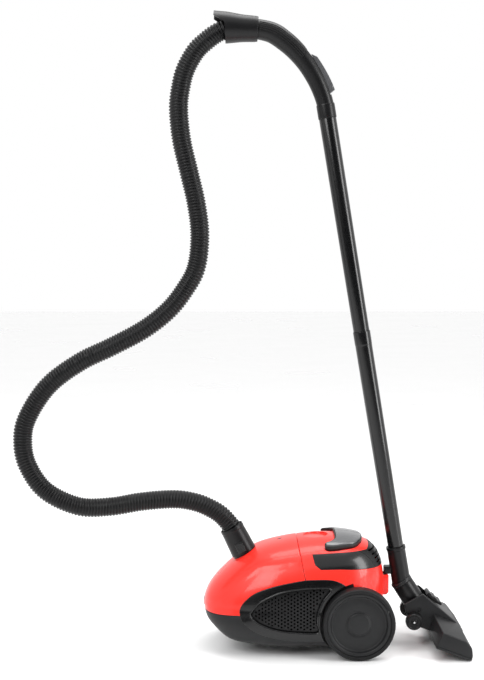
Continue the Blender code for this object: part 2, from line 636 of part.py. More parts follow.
def hose():
    ends = [INLET + INLET_AXIS * (HOSE_IN_CUFF + inside) for inside in (0.028, 0.014, 0.0)]
    route = smooth_route([(x, 0.0, z) for x, z in HOSE_ROUTE] + ends, 46)
    curve = tube_curve("hose", route, [HOSE_DIAMETER / 2] * len(route), 2)
    curve.data.materials.append(SATIN)
    PARTS.objects.link(curve)


# ---- handle and wand ----------------------------------------------------------------------
HANDLE_ROUTE = [  # x, z, radius
    (-0.1760, 1.2827, 0.0202), (-0.1560, 1.2810, 0.0207), (-0.1300, 1.2740, 0.0213),
    (-0.1070, 1.2590, 0.0208), (-0.0850, 1.2400, 0.0199), (-0.0620, 1.2134, 0.0192),
    (-0.0435, 1.1840, 0.0186), (-0.0310, 1.1570, 0.0180), (-0.0225, 1.1310, 0.0175),
]


def handle():
    along = (SLEEVE_RIGHT - SLEEVE_LEFT).normalized()
    length = (SLEEVE_RIGHT - SLEEVE_LEFT).length
    sleeve = turned(
        "hose_sleeve",
        [
            (0.0252, length), (0.0275, 0.0600), (0.0330, 0.0240), (0.0330, 0.0),
            (0.0300, 0.0), (0.0290, 0.0200), (0.0214, 0.0500), (0.0214, length),
        ],
        SLEEVE_LEFT, along, SATIN, steps=28,
    )
    mouth = [(-0.30, 1.20), (-0.30, 1.300), (-0.2525, 1.3065), (-0.2290, 1.2920), (-0.2250, 1.2000)]
    cut(sleeve, prism("mouth_cut", mouth, -0.05, 0.05))

    places = [(x, 0.0, z) for x, z, _ in HANDLE_ROUTE] + [tuple(WAND_TOP - WAND_AXIS * 0.0003)]
    radii = [radius for _, _, radius in HANDLE_ROUTE] + [0.0178]
    route = smooth_route(places, 16)
    spread = list(np.interp(np.linspace(0, 1, 16), np.linspace(0, 1, len(radii)), radii))
    made = tube_mesh("bent_handle", route, spread, 4, SATIN)
    collar = ring("handle_collar", 0.0150, 0.0190, -0.030, -0.0003, WAND_TOP, WAND_AXIS, steps=24)
    spigot = rod("handle_spigot", 0.0158, -0.010, 0.034, WAND_TOP, WAND_AXIS, steps=24)
    bore_end = [tuple(WAND_TOP + WAND_AXIS * 0.04)]
    bore = tube_mesh("handle_bore", smooth_route([(-0.20, 0.0, 1.2836), *places, *bore_end], 16),
                     [0.0140] * 16, 3)
    join(made, collar, spigot)
    cut(made, bore)

    cut(made, prism("slider_room", grip_sector(0.3140, 0.3300, 21.0, 41.5), -0.0100, 0.0100))
    prism("bleed_slider", grip_sector(SLIDER_INNER, SLIDER_OUTER, 22.0, 38.0, 2.0), -0.0090, 0.0090, DARK)


def grip_sector(inner, outer, low, high, taper=0.0):
    """The x, z outline of a stretch of the handle's curve; its outer side is shorter at each end."""
    corners = []
    for radius, first, last in ((outer, high - taper, low + taper), (inner, low, high)):
        for angle in np.radians(np.linspace(first, last, 7)):
            corners.append((GRIP_ARC.x + radius * math.cos(angle), GRIP_ARC.z + radius * math.sin(angle)))
    return corners


def wand():
    turned(
        "upper_tube",
        [
            (0.0160, TUBE_JOINT + TUBE_OVERLAP), (0.0162, TUBE_JOINT), (0.0166, TUBE_JOINT - GAP),
            (0.0179, 0.0), (0.0161, 0.0), (0.0161, 0.036), (0.0145, 0.040),
            (0.0145, TUBE_JOINT + TUBE_OVERLAP),
        ],
        WAND_TOP, WAND_AXIS, BLACK,
    )
    turned(
        "lower_tube",
        [
            (0.0160, WAND_LENGTH + TUBE_OVERLAP), (0.0162, WAND_LENGTH - GAP),
            (0.0166, WAND_LENGTH - 2 * GAP), (0.0179, TUBE_JOINT), (0.0165, TUBE_JOINT),
            (0.0165, TUBE_JOINT + TUBE_OVERLAP + 0.002), (0.0145, TUBE_JOINT + TUBE_OVERLAP + 0.006),
            (0.0145, WAND_LENGTH + TUBE_OVERLAP),
        ],
        WAND_TOP, WAND_AXIS, BLACK,
    )


def neck():
    end = WAND_LENGTH + NECK_LENGTH
    socket = turned(
        "neck_socket",
        [
            (0.0200, end + 0.02), (0.01935, WAND_LENGTH + 0.006), (0.0207, WAND_LENGTH + 0.005),
            (0.0207, WAND_LENGTH), (0.0165, WAND_LENGTH), (0.0165, WAND_LENGTH + TUBE_OVERLAP + 0.002),
            (0.0148, WAND_LENGTH + TUBE_OVERLAP + 0.006), (0.0148, end + 0.02),
        ],
        WAND_TOP, WAND_AXIS, SATIN,
    )
    hook = [
        (0.1075, 0.1630), (0.1075, 0.1210), (0.1105, 0.1210), (0.1105, 0.1476), (0.1225, 0.1476),
        (0.1225, 0.1630),
    ]
    join(socket, prism("parking_hook", hook, -0.010, 0.010))
    below = rod("neck_mitre", 0.06, -0.0043, 0.08, SWIVEL, SWIVEL_AXIS)
    cut(socket, below)
    cut(socket, rod("neck_bore", 0.0146, -0.11, 0.05, SWIVEL, -WAND_AXIS))
    ring_profile = [
        (0.0215, 0.0040), (0.0227, 0.0028), (0.0227, -0.0028), (0.0215, -0.0040), (0.0161, -0.0040),
        (0.0161, 0.0040),
    ]
    turned("swivel_ring", ring_profile, SWIVEL, SWIVEL_AXIS, DARK)
    elbow = turned(
        "neck_elbow",
        [
            (BARREL_RADIUS, PIVOT_DROP), (BARREL_RADIUS, 0.030), (0.0220, 0.0043), (0.0158, 0.0043),
            (0.0158, -0.0030), (0.0140, -0.0030), (0.0140, 0.045), (0.0, 0.045), (0.0, PIVOT_DROP),
        ],
        SWIVEL, SWIVEL_AXIS, SATIN,
    )
    join(elbow, rod("elbow_barrel", BARREL_RADIUS, -BARREL_HALF, BARREL_HALF, HEAD_PIVOT, Y, steps=24))
    join(elbow, rod("barrel_pins", 0.0040, -0.0355, 0.0355, HEAD_PIVOT, Y, steps=12))
    cut(elbow, rod("elbow_bore", 0.0140, 0.040, 0.072, SWIVEL, SWIVEL_AXIS))
    forward = HEAD_FRAME.to_3x3() @ X
    cut(elbow, rod("elbow_outlet", 0.0140, -0.006, 0.040, HEAD_PIVOT, forward))
    manifold(elbow)


# ---- floor head ---------------------------------------------------------------------------
def deck_form(name, inset, finish=None):
    """The head's wide deck: its end sections, raised towards the hump in the middle."""
    section = [
        (-HEAD_DEPTH + inset, 0.0063 - inset * 2), (-0.0755 + inset, 0.0362 - inset),
        (-0.0240 - inset * 0.6, 0.0350 - inset), (-0.0085 - inset, 0.0255 - inset),
        (-0.0010 - inset, 0.0100), (-0.0010 - inset, 0.0063 - inset * 2),
    ]
    stations = [
        (-HEAD_HALF_WIDTH + inset, 0.0), (-0.036, 1.0), (0.036, 1.0), (HEAD_HALF_WIDTH - inset, 0.0),
    ]
    form = bmesh.new()
    loops = []
    for y, rise in stations:
        loop = []
        for index, (x, z) in enumerate(section):
            lift = 0.0062 * rise if index in (1, 2) else 0.0
            back = -0.0080 * rise if index == 1 else 0.0
            loop.append(form.verts.new((x + back, y, z + lift)))
        loops.append(loop)
    for left, right in zip(loops, loops[1:]):
        for i in range(len(section)):
            j = (i + 1) % len(section)
            form.faces.new((left[i], left[j], right[j], right[i]))
    form.faces.new(loops[0])
    form.faces.new(loops[-1])
    return add(name, mesh_from(form, name), finish, HEAD_FRAME)


def head():
    wall = 0.0028
    hump = [
        (-0.1360, 0.0220), (-0.1488, 0.0410), (-0.1189, 0.0753), (-0.0346, 0.0441), (-0.0120, 0.0310),
        (-0.0120, 0.0063), (-0.1240, 0.0063),
    ]
    inner = [
        (-0.1600, 0.0095), (-0.1600, 0.0800), (-0.1189, 0.0723), (-0.0346, 0.0411), (-0.0150, 0.0285),
        (-0.0150, 0.0000), (-0.0730, 0.0000), (-0.0730, 0.0095),
    ]
    half = HUMP_HALF_WIDTH
    made = deck_form("head_shell", 0.0, DARK)
    join(made, prism("hump_block", hump, -half, half, matrix=HEAD_FRAME))
    cut(made, deck_form("deck_hollow", wall))
    cut(made, prism("hump_hollow", inner, -0.0308, 0.0308, matrix=HEAD_FRAME))
    cut(made, rod("barrel_room", BARREL_RADIUS + 0.0006, -0.0308, 0.0308, HEAD_PIVOT, Y, steps=28))
    for lean in (-22, -11, 0, 11, 22):
        direction = Matrix.Rotation(math.radians(lean), 3, "Y") @ -SWIVEL_AXIS
        sweep = on_axis(HEAD_PIVOT, direction)
        room = BARREL_RADIUS + 0.0008
        quarter = sweep.to_3x3().inverted() @ Y
        low = (-room, -0.0308, 0.0) if abs(quarter.y) > 0.5 else (-0.0308, -room, 0.0)
        cut(made, box(f"tube_sweep_{lean}", low, (-low[0], -low[1], 0.09), matrix=sweep))
    cut(made, rod("pivot_holes", 0.0043, -0.05, 0.05, HEAD_PIVOT, Y, steps=14))
    axle = HEAD_FRAME @ Vector((HEAD_WHEEL[0], 0.0, HEAD_WHEEL[1]))
    cut(made, rod("head_axle_holes", 0.0023, -0.05, 0.05, axle, Y, steps=12))
    manifold(made)

    sole = box("head_sole", (-0.0775, -0.1300, 0.0), (-0.0010, 0.1300, 0.0060), DARK, HEAD_FRAME)
    cut(sole, box("suction_slot", (-0.052, -0.112, -0.01), (-0.030, 0.112, 0.02), matrix=HEAD_FRAME))
    cut(sole, box("brush_slot", (-0.0680, -0.1155, -0.01), (-0.0620, 0.1155, 0.02), matrix=HEAD_FRAME))
    brush = box("brush_strip", (-0.0672, -0.1140, -0.0022), (-0.0628, 0.1140, 0.0110), BRISTLE, HEAD_FRAME)
    join(brush, box("brush_carriage", (-0.0712, -0.1150, 0.0106), (-0.0588, 0.1150, 0.0142), matrix=HEAD_FRAME))

    for side, word in ((-1, "left"), (1, "right")):
        rod(f"head_{word}_pin", 0.0020, 0.0312, 0.0560, axle, side * Y, STEEL, steps=12)
        tread = [
            (0.0160, 0.0540), (HEAD_WHEEL_RADIUS, 0.0520), (HEAD_WHEEL_RADIUS, 0.0410),
            (0.0160, 0.0395), (0.0024, 0.0395), (0.0024, 0.0540),
        ]
        turned(f"head_{word}_wheel", tread, axle, side * Y, SATIN, steps=20)


PEDAL_PIVOT = HEAD_FRAME @ Vector((-0.0890, 0.0, 0.0668))


def head_pedal():
    slope = math.atan2(0.0753 - 0.0441, 0.1189 - 0.0346)
    frame = Matrix.Translation(PEDAL_PIVOT) @ Matrix.Rotation(HEAD_TILT + slope, 4, "Y")
    outline = [
        (-0.0190, 0.0044), (-0.0165, 0.0060), (-0.0120, 0.0060), (-0.0105, 0.0046), (-0.0045, 0.0046),
        (-0.0030, 0.0060), (0.0030, 0.0060), (0.0045, 0.0046), (0.0105, 0.0046), (0.0120, 0.0060),
        (0.0165, 0.0060), (0.0190, 0.0044), (0.0190, 0.0010), (0.0030, -0.0018), (-0.0190, -0.0018),
    ]
    prism("head_pedal", outline, -0.0190, 0.0190, DARK, frame)


# ---- inside the canister ------------------------------------------------------------------
def dust_room():
    bulkhead = box("bulkhead", (-0.0620, -0.0880, 0.0225), (-0.0590, 0.0880, 0.1720), INNER, bevel=0.0008)
    intake = (-0.07, MOTOR.y, MOTOR.z)
    cut(bulkhead, rod("intake_hole", 0.0280, 0.0, 0.02, intake, X, steps=24))
    box("motor_filter", (-0.0585, -0.0640, 0.0560), (-0.0512, 0.0040, 0.1240), FOAM, bevel=0.0015)
    low = INLET + INLET_AXIS * -0.0300
    tangent = Vector((INLET_AXIS.z, 0.0, -INLET_AXIS.x))
    front, back = low - tangent * 0.040, low + tangent * 0.036
    plate = [front, back, Vector((-0.0625, 0.0, 0.1815)), Vector((-0.0625, 0.0, 0.1850)),
             back + INLET_AXIS * 0.0035, front + INLET_AXIS * 0.0035]
    holder = prism("bag_holder", [(p.x, p.z) for p in plate], -0.030, 0.030, INNER)
    cut(holder, rod("bag_mouth", 0.0215, -0.02, 0.02, low, INLET_AXIS, steps=24))
    bag = box("dust_bag", (-0.2120, -0.0760, 0.0460), (-0.0760, 0.0760, 0.1360), PAPER)
    modifier = bag.modifiers.new("soft_edges", "BEVEL")
    modifier.width = 0.020
    modifier.segments = 3


def motor():
    """The motor and its fan, turned round one axis along X."""
    at = Vector((0.0, MOTOR.y, MOTOR.z))
    turned("motor_front_mount", [(0.044, -0.0446), (0.044, -0.0505), (0.030, -0.0505), (0.030, -0.0446)],
           at, X, RUBBER)
    turned("fan_cover", [
        (0.0460, -0.0200), (0.0460, -0.0443), (0.0200, -0.0443), (0.0200, -0.0418), (0.0435, -0.0418),
        (0.0435, -0.0200),
    ], at, X, STEEL)
    turned("motor_can", [
        (0.0330, 0.0600), (0.0380, 0.0550), (0.0380, -0.0180), (0.0440, -0.0197), (0.0100, -0.0197),
        (0.0100, -0.0150), (0.0350, -0.0150), (0.0350, 0.0540), (0.0100, 0.0560), (0.0100, 0.0600),
    ], at, X, INNER)
    turned("motor_rotor", [
        (0.0, 0.0620), (0.0040, 0.0620), (0.0040, 0.0500), (0.0120, 0.0490), (0.0120, 0.0360),
        (0.0050, 0.0350), (0.0050, 0.0290), (0.0210, 0.0280), (0.0210, -0.0080), (0.0040, -0.0100),
        (0.0040, -0.0230), (0.0110, -0.0230), (0.0400, -0.0250), (0.0400, -0.0390), (0.0110, -0.0400),
        (0.0040, -0.0330), (0.0, -0.0330),
    ], at, X, STEEL, steps=16)


def cord_reel():
    """The empty drum of the mains cord, and the spring case it turns on."""
    at = Vector((REEL.x, 0.0, REEL.z))
    turned("cord_reel", [
        (0.0550, 0.0740), (0.0550, 0.0720), (0.0280, 0.0720), (0.0280, 0.0330), (0.0550, 0.0330),
        (0.0550, 0.0310), (0.0054, 0.0310), (0.0054, 0.0740),
    ], at, Y, INNER, steps=24)
    turned("reel_spring_case", [
        (0.0, 0.0845), (0.0320, 0.0845), (0.0320, 0.0745), (0.0300, 0.0745), (0.0300, 0.0825),
        (0.0050, 0.0825), (0.0050, 0.0290), (0.0180, 0.0290), (0.0180, 0.0260), (0.0, 0.0260),
    ], at, Y, DARK)


def electrics():
    board = box("circuit_board", (-0.0150, -0.0560, 0.1560), (0.0350, -0.0200, 0.1576), BOARD)
    join(board, box("board_capacitor", (-0.0080, -0.0500, 0.1570), (0.0040, -0.0380, 0.1680)))
    join(board, box("board_triac", (0.0150, -0.0450, 0.1570), (0.0260, -0.0400, 0.1700)))
    switch = box("power_switch", (0.0130, -0.0560, 0.1800), (0.0330, -0.0430, 0.1960), SATIN)
    join(switch, rod("switch_plunger", 0.0030, 0.1950, 0.2010, (0.0230, -0.0495, 0.0), Z, steps=12))
    box("exhaust_filter", (0.0715, -0.0400, 0.1500), (0.0785, 0.0400, 0.1860), FOAM, bevel=0.0015)


lower_chassis()
rear_housing()
rear_trim()
side_vents()
lid()
latch()
pedals()
wheels()
castor()
inlet()
hose()
handle()
wand()
neck()
head()
head_pedal()
dust_room()
motor()
cord_reel()
electrics()
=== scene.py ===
"""The looks of a canister vacuum cleaner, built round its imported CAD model.

Metres, +Z up. +X runs from the nose to the parked floor head, and the camera looks along +Y.
"""

import json
import math

import bmesh
import bpy
import numpy as np
from mathutils import Matrix, Vector
from mathutils.geometry import delaunay_2d_cdt

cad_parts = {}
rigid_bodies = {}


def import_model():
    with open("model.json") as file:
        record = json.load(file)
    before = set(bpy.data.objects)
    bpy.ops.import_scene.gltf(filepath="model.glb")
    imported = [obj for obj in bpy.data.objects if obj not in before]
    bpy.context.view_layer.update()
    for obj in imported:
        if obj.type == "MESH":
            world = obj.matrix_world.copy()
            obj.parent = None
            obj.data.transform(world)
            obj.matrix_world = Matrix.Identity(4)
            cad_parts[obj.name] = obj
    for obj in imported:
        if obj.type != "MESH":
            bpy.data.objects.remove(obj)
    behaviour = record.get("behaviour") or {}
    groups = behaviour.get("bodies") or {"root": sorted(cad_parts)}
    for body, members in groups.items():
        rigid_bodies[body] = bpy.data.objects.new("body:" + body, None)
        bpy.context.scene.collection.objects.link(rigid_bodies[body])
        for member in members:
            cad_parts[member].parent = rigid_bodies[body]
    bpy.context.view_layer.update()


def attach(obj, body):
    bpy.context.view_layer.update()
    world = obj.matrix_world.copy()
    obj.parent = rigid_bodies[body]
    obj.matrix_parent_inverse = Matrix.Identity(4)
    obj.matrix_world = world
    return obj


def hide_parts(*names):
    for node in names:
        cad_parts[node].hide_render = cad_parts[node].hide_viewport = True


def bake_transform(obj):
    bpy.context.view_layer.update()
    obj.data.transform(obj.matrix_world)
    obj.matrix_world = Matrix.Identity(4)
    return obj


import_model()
SIDES = ((-1, "left"), (1, "right"))
UP, DOWN, ACROSS = (0.0, 0.0, 1.0), (0.0, 0.0, -1.0), (0.0, 1.0, 0.0)


def placed(name, data):
    """A new object, linked to the scene."""
    made = bpy.data.objects.new(name, data)
    bpy.context.scene.collection.objects.link(made)
    return made


def finished(form, name):
    """The mesh of a bmesh, which is freed."""
    mesh = bpy.data.meshes.new(name)
    form.to_mesh(mesh)
    form.free()
    return mesh


# ---- camera, light and floor --------------------------------------------------------------
CAMERA_PLACE = (-0.1935, -2.5, 0.85)
CAMERA_PITCH = math.radians(90 - 4.72)
SENSOR = 36.0
FOCAL_LENGTH = SENSOR * 30 / 17
KEY_POWER, SOFT_POWER = 55.0, 40.0


def camera():
    data = bpy.data.cameras.new("camera")
    data.sensor_fit = "VERTICAL"
    data.sensor_height = SENSOR
    data.lens = FOCAL_LENGTH
    made = placed("camera", data)
    made.location = CAMERA_PLACE
    made.rotation_euler = (CAMERA_PITCH, 0.0, 0.0)
    bpy.context.scene.camera = made


def area_light(name, place, target, size, power):
    data = bpy.data.lights.new(name, "AREA")
    data.shape = "RECTANGLE"
    data.size, data.size_y = size
    data.energy = power
    made = placed(name, data)
    made.location = place
    made.rotation_euler = (Vector(target) - Vector(place)).to_track_quat("-Z", "Y").to_euler()


def dark_card():
    """A black flag behind the camera, which only deepens the reflections."""
    mesh = bpy.data.meshes.new("dark_card")
    corners = [(-4.7, -3.6, -0.6), (4.3, -3.6, -0.6), (4.3, -3.6, 3.8), (-4.7, -3.6, 3.8)]
    mesh.from_pydata(corners, [], [(0, 1, 2, 3)])
    mesh.materials.append(SHADE_BLACK)
    card = placed("dark_card", mesh)
    card.visible_camera = False


def surroundings():
    """White studio: an even white world, two soft boxes, and a pale floor with a faint reflection."""
    scene = bpy.context.scene
    scene.view_settings.view_transform = "Standard"
    scene.view_settings.look = "None"
    world = bpy.data.worlds.new("studio")
    world.use_nodes = True
    background = world.node_tree.nodes["Background"].inputs
    background["Color"].default_value = (1.0, 1.0, 1.0, 1.0)
    background["Strength"].default_value = 1.0
    scene.world = world
    area_light("key_box", (-1.6, -2.2, 2.1), (-0.1, 0.0, 0.3), (1.4, 1.8), KEY_POWER)
    area_light("rim_box", (1.9, -0.9, 1.2), (0.0, 0.0, 0.4), (0.7, 2.2), SOFT_POWER)
    area_light("top_box", (0.0, 0.4, 2.8), (0.0, 0.0, 0.0), (2.0, 1.2), SOFT_POWER)
    dark_card()
    form = bmesh.new()
    bmesh.ops.create_grid(form, x_segments=2, y_segments=2, size=12.0)
    mesh = finished(form, "floor")
    mesh.materials.append(FLOOR)
    floor = placed("floor", mesh)
    floor.location = (0.0, 0.0, -0.0006)


# ---- materials ----------------------------------------------------------------------------
def feed(tree, made, inputs):
    """Links each input to a socket, or gives it a value."""
    for name, value in inputs.items():
        if isinstance(value, bpy.types.NodeSocket):
            tree.links.new(value, made.inputs[name])
        else:
            made.inputs[name].default_value = value


def node(tree, kind, inputs=None, **settings):
    made = tree.nodes.new(kind)
    for name, value in settings.items():
        setattr(made, name, value)
    feed(tree, made, inputs or {})
    return made


def blank(name):
    """A new material with its node tree, its shader and its object coordinates."""
    made = bpy.data.materials.new(name)
    made.use_nodes = True
    tree = made.node_tree
    place = node(tree, "ShaderNodeTexCoord").outputs["Object"]
    return made, tree, tree.nodes["Principled BSDF"], place


def noise(tree, place, scale, detail):
    inputs = {"Vector": place, "Scale": scale, "Detail": detail}
    return node(tree, "ShaderNodeTexNoise", inputs).outputs["Fac"]


def plastic(name, colour, roughness, grain=0.15, grain_scale=1800.0, coat=0.0, metallic=0.0, tone=0.12,
            shine=0.5):
    """Moulded plastic, rubber or metal: fine grain, faint flow marks, and a roughness that wanders."""
    made, tree, shader, place = blank(name)
    cloud = noise(tree, place, 9.0, 3.0)
    fine = noise(tree, place, grain_scale, 2.0)
    ramp = node(tree, "ShaderNodeMapRange", {
        "Value": cloud, "From Min": 0.3, "From Max": 0.7,
        "To Min": roughness - 0.05, "To Max": roughness + 0.05,
    })
    dust = noise(tree, place, 60.0, 5.0)
    darker = tuple(c * (1 - tone) for c in colour)
    lighter = tuple(min(1.0, c * (1 + tone * 0.5) + tone * 0.004) for c in colour)
    mix = node(tree, "ShaderNodeMix", {"Factor": dust}, data_type="RGBA")
    mix.inputs["A"].default_value = (*darker, 1.0)
    mix.inputs["B"].default_value = (*lighter, 1.0)
    bump = node(tree, "ShaderNodeBump", {"Height": fine, "Strength": grain, "Distance": 0.0002})
    feed(tree, shader, {
        "Base Color": mix.outputs["Result"], "Roughness": ramp.outputs["Result"],
        "Normal": bump.outputs["Normal"], "Metallic": metallic, "Coat Weight": coat,
        "Coat Roughness": 0.08, "Specular IOR Level": shine,
    })
    return made


def floor_material():
    made, tree, shader, place = blank("white_floor")
    cloud = noise(tree, place, 1.5, 2.0)
    ramp = node(tree, "ShaderNodeMapRange", {"Value": cloud, "To Min": 0.22, "To Max": 0.3})
    feed(tree, shader, {"Roughness": ramp.outputs["Result"], "Base Color": (0.93, 0.93, 0.93, 1.0)})
    return made


FLOOR = floor_material()
RED = plastic("red_gloss_shell", (0.92, 0.03, 0.02), 0.3, grain=0.05, coat=0.25, tone=0.05, shine=0.28)
DARK = plastic("dark_matte_plastic", (0.0115, 0.0118, 0.0125), 0.42, grain=0.3, tone=0.2, shine=0.3)
BLACK = plastic("black_gloss_plastic", (0.0045, 0.0046, 0.005), 0.24, grain=0.04, coat=0.2, shine=0.36)
SATIN = plastic("black_satin_plastic", (0.0065, 0.0065, 0.007), 0.34, grain=0.2, tone=0.2, shine=0.26)
GREY = plastic("grey_pedal_plastic", (0.085, 0.086, 0.09), 0.22, grain=0.1, coat=0.4, shine=0.6)
RUBBER = plastic("black_rubber", (0.0085, 0.0085, 0.009), 0.5, grain=0.4, grain_scale=900.0, tone=0.3,
                 shine=0.22)
STEEL = plastic("bright_steel", (0.62, 0.62, 0.63), 0.24, grain=0.05, metallic=1.0)
PAPER = plastic("dust_bag_paper", (0.55, 0.45, 0.33), 0.88, grain=0.8, grain_scale=400.0, tone=0.25)
FOAM = plastic("filter_foam", (0.16, 0.19, 0.22), 0.92, grain=1.0, grain_scale=700.0, tone=0.4)
INNER = plastic("inner_plastic", (0.1, 0.1, 0.105), 0.55, grain=0.25, shine=0.3)
BOARD = plastic("circuit_board_green", (0.02, 0.16, 0.07), 0.42, grain=0.2, tone=0.3)
BRISTLE = plastic("bristle_fibre", (0.03, 0.03, 0.03), 0.8, grain=1.0, grain_scale=600.0, tone=0.4,
                  shine=0.2)
# Near-black, matte and without shine: painted shade on the sheet behind each vent grille, and also the
# black flag behind the camera that darkens reflections
SHADE_BLACK = plastic("vent_shadow", (0.0015, 0.0015, 0.0015), 0.9, grain=0.1, shine=0.0)
SLOTS = {
    made.name.split(".")[0]: made
    for made in (RED, DARK, BLACK, SATIN, GREY, RUBBER, STEEL, PAPER, FOAM, INNER, BOARD, BRISTLE)
}


# ---- making pieces ------------------------------------------------------------------------
def piece(name, mesh, finish, body, *nodes, smooth=35.0):
    """Links a mesh as a piece that rides on a body and stands for these CAD nodes."""
    made = placed(name, mesh)
    mesh.materials.clear()
    mesh.materials.append(finish)
    mesh.shade_smooth()
    mesh.set_sharp_from_angle(angle=math.radians(smooth))
    if body:
        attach(made, body)
    if nodes:
        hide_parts(*nodes)
    return made


def mesh_of(name, points, faces):
    mesh = bpy.data.meshes.new(name)
    mesh.from_pydata([tuple(p) for p in points], [], [tuple(int(i) for i in f) for f in faces])
    mesh.validate()
    return mesh


def on_axis(point, direction):
    return Matrix.Translation(point) @ Vector(direction).to_track_quat("Z", "Y").to_matrix().to_4x4()


def compass(count):
    """The cosine and sine of evenly spread angles."""
    angles = [2 * math.pi * i / count for i in range(count)]
    return [(math.cos(a), math.sin(a)) for a in angles]


def corner_arc(here, before, after, radius):
    """Points on a small arc in place of a corner, given the ways to its neighbours."""
    size = min(radius, before.length * 0.45, after.length * 0.45)
    start, end = here + before.normalized() * size, here + after.normalized() * size
    shares = [k / 4 for k in range(5)]
    return [(1 - t) ** 2 * start + 2 * t * (1 - t) * here + t * t * end for t in shares]


def rounded(profile, radius):
    """A closed r, h profile with round corners; a third value is a corner's own radius."""
    corners = []
    for i, corner in enumerate(profile):
        here = Vector(corner[:2])
        before = Vector(profile[i - 1][:2]) - here
        after = Vector(profile[(i + 1) % len(profile)][:2]) - here
        wanted = corner[2] if len(corner) > 2 else radius
        if min(wanted, before.length * 0.45, after.length * 0.45) < 1e-5 or here.x < 1e-6:
            corners.append(here)
        else:
            corners += corner_arc(here, before, after, wanted)
    return corners


def turned_mesh(name, profile, point, direction, steps=72, radius=0.0006):
    """A closed r, h profile turned round an axis."""
    form = bmesh.new()
    rings = []
    for corner in rounded(profile, radius):
        around = compass(steps) if corner.x >= 1e-6 else [(0.0, 0.0)]
        rings.append([form.verts.new((corner.x * c, corner.x * s, corner.y)) for c, s in around])
    for lower, upper in zip(rings, rings[1:] + rings[:1]):
        for i in range(steps):
            j = (i + 1) % steps
            around = [lower[i % len(lower)], lower[j % len(lower)]]
            around += [upper[j % len(upper)], upper[i % len(upper)]]
            around = [v for k, v in enumerate(around) if v not in around[:k]]
            if len(around) > 2 and not form.faces.get(around):
                form.faces.new(around)
    bmesh.ops.recalc_face_normals(form, faces=form.faces)
    bmesh.ops.transform(form, matrix=on_axis(point, direction), verts=form.verts)
    return finished(form, name)


def turned(name, profile, point, direction, finish, body, *nodes, steps=72, radius=0.0006):
    piece(name, turned_mesh(name, profile, point, direction, steps, radius), finish, body, *nodes)


def rod(radius, low, high, place, direction, steps=72, corner=0.0006):
    profile = [(0.0, low), (radius, low), (radius, high), (0.0, high)]
    return turned_mesh("rod", profile, place, direction, steps, corner)


def run_of(points):
    """The distance of each point along an open line."""
    return np.cumsum([0.0] + [(q - p).length for p, q in zip(points, points[1:])])


def points_at(points, run, wanted):
    """The points at the wanted distances along a line."""
    return [Vector(p) for p in zip(*(np.interp(wanted, run, [p[k] for p in points]) for k in range(3)))]


def smooth_route(points, count):
    """Evenly spread points on a Catmull-Rom curve through the route's own points."""
    knots = [Vector(p) for p in points]
    knots = [2 * knots[0] - knots[1], *knots, 2 * knots[-1] - knots[-2]]
    fine = []
    for a, b, c, d in zip(knots, knots[1:], knots[2:], knots[3:]):
        for t in [step / 16 for step in range(16)]:
            fine.append(
                0.5 * ((2 * b) + (c - a) * t + (2 * a - 5 * b + 4 * c - d) * t * t
                       + (3 * b - a - 3 * c + d) * t * t * t)
            )
    fine.append(knots[-2])
    run = run_of(fine)
    return points_at(fine, run, np.linspace(0.0, run[-1], count))


def swept_mesh(name, route, radii, sides=32):
    """A tube along a route in a plane of constant y, with one radius at each of its points."""
    form = bmesh.new()
    rings = []
    across = Vector(ACROSS)
    for i, place in enumerate(route):
        ahead = (route[min(i + 1, len(route) - 1)] - route[max(i - 1, 0)]).normalized()
        up = ahead.cross(across).normalized()
        rings.append([form.verts.new(place + (across * c + up * s) * radii[i]) for c, s in compass(sides)])
    for lower, upper in zip(rings, rings[1:]):
        for k in range(sides):
            n = (k + 1) % sides
            form.faces.new((lower[k], lower[n], upper[n], upper[k]))
    form.faces.new(rings[0])
    form.faces.new(rings[-1])
    bmesh.ops.recalc_face_normals(form, faces=form.faces)
    return finished(form, name)


# ---- hose ---------------------------------------------------------------------------------
INLET = Vector((-0.188, 0.0, 0.191))
INLET_AXIS = Vector((-math.sin(math.radians(26.7)), 0.0, math.cos(math.radians(26.7))))
HOSE_IN_CUFF = 0.038
HOSE_DIAMETER = 0.0405
HOSE_UPPER = [  # x, z from inside the handle down to the loop's far side, as in the CAD part
    (-0.196, 1.2836), (-0.208, 1.2841), (-0.23, 1.2805), (-0.248, 1.272), (-0.267, 1.258),
    (-0.288, 1.238), (-0.308, 1.204), (-0.318, 1.171), (-0.324, 1.123), (-0.318, 1.057),
    (-0.303, 0.992), (-0.288, 0.926), (-0.281, 0.86), (-0.289, 0.794), (-0.314, 0.747), (-0.348, 0.705),
    (-0.398, 0.666), (-0.465, 0.63), (-0.533, 0.597), (-0.6, 0.547), (-0.645, 0.479), (-0.655, 0.428),
]
HOSE_LOWER = [  # and from there back to the cuff
    (-0.645, 0.377), (-0.608, 0.324), (-0.54, 0.291), (-0.473, 0.29), (-0.405, 0.301), (-0.337, 0.306),
    (-0.292, 0.2995), (-0.26, 0.2865), (-0.237, 0.2715),
]
RIB_PITCH = 0.0062
RIB = [(0.0, -0.0021), (0.2, -0.0021), (0.34, -0.0005), (0.46, 0.0), (0.7, 0.0), (0.84, -0.0009)]


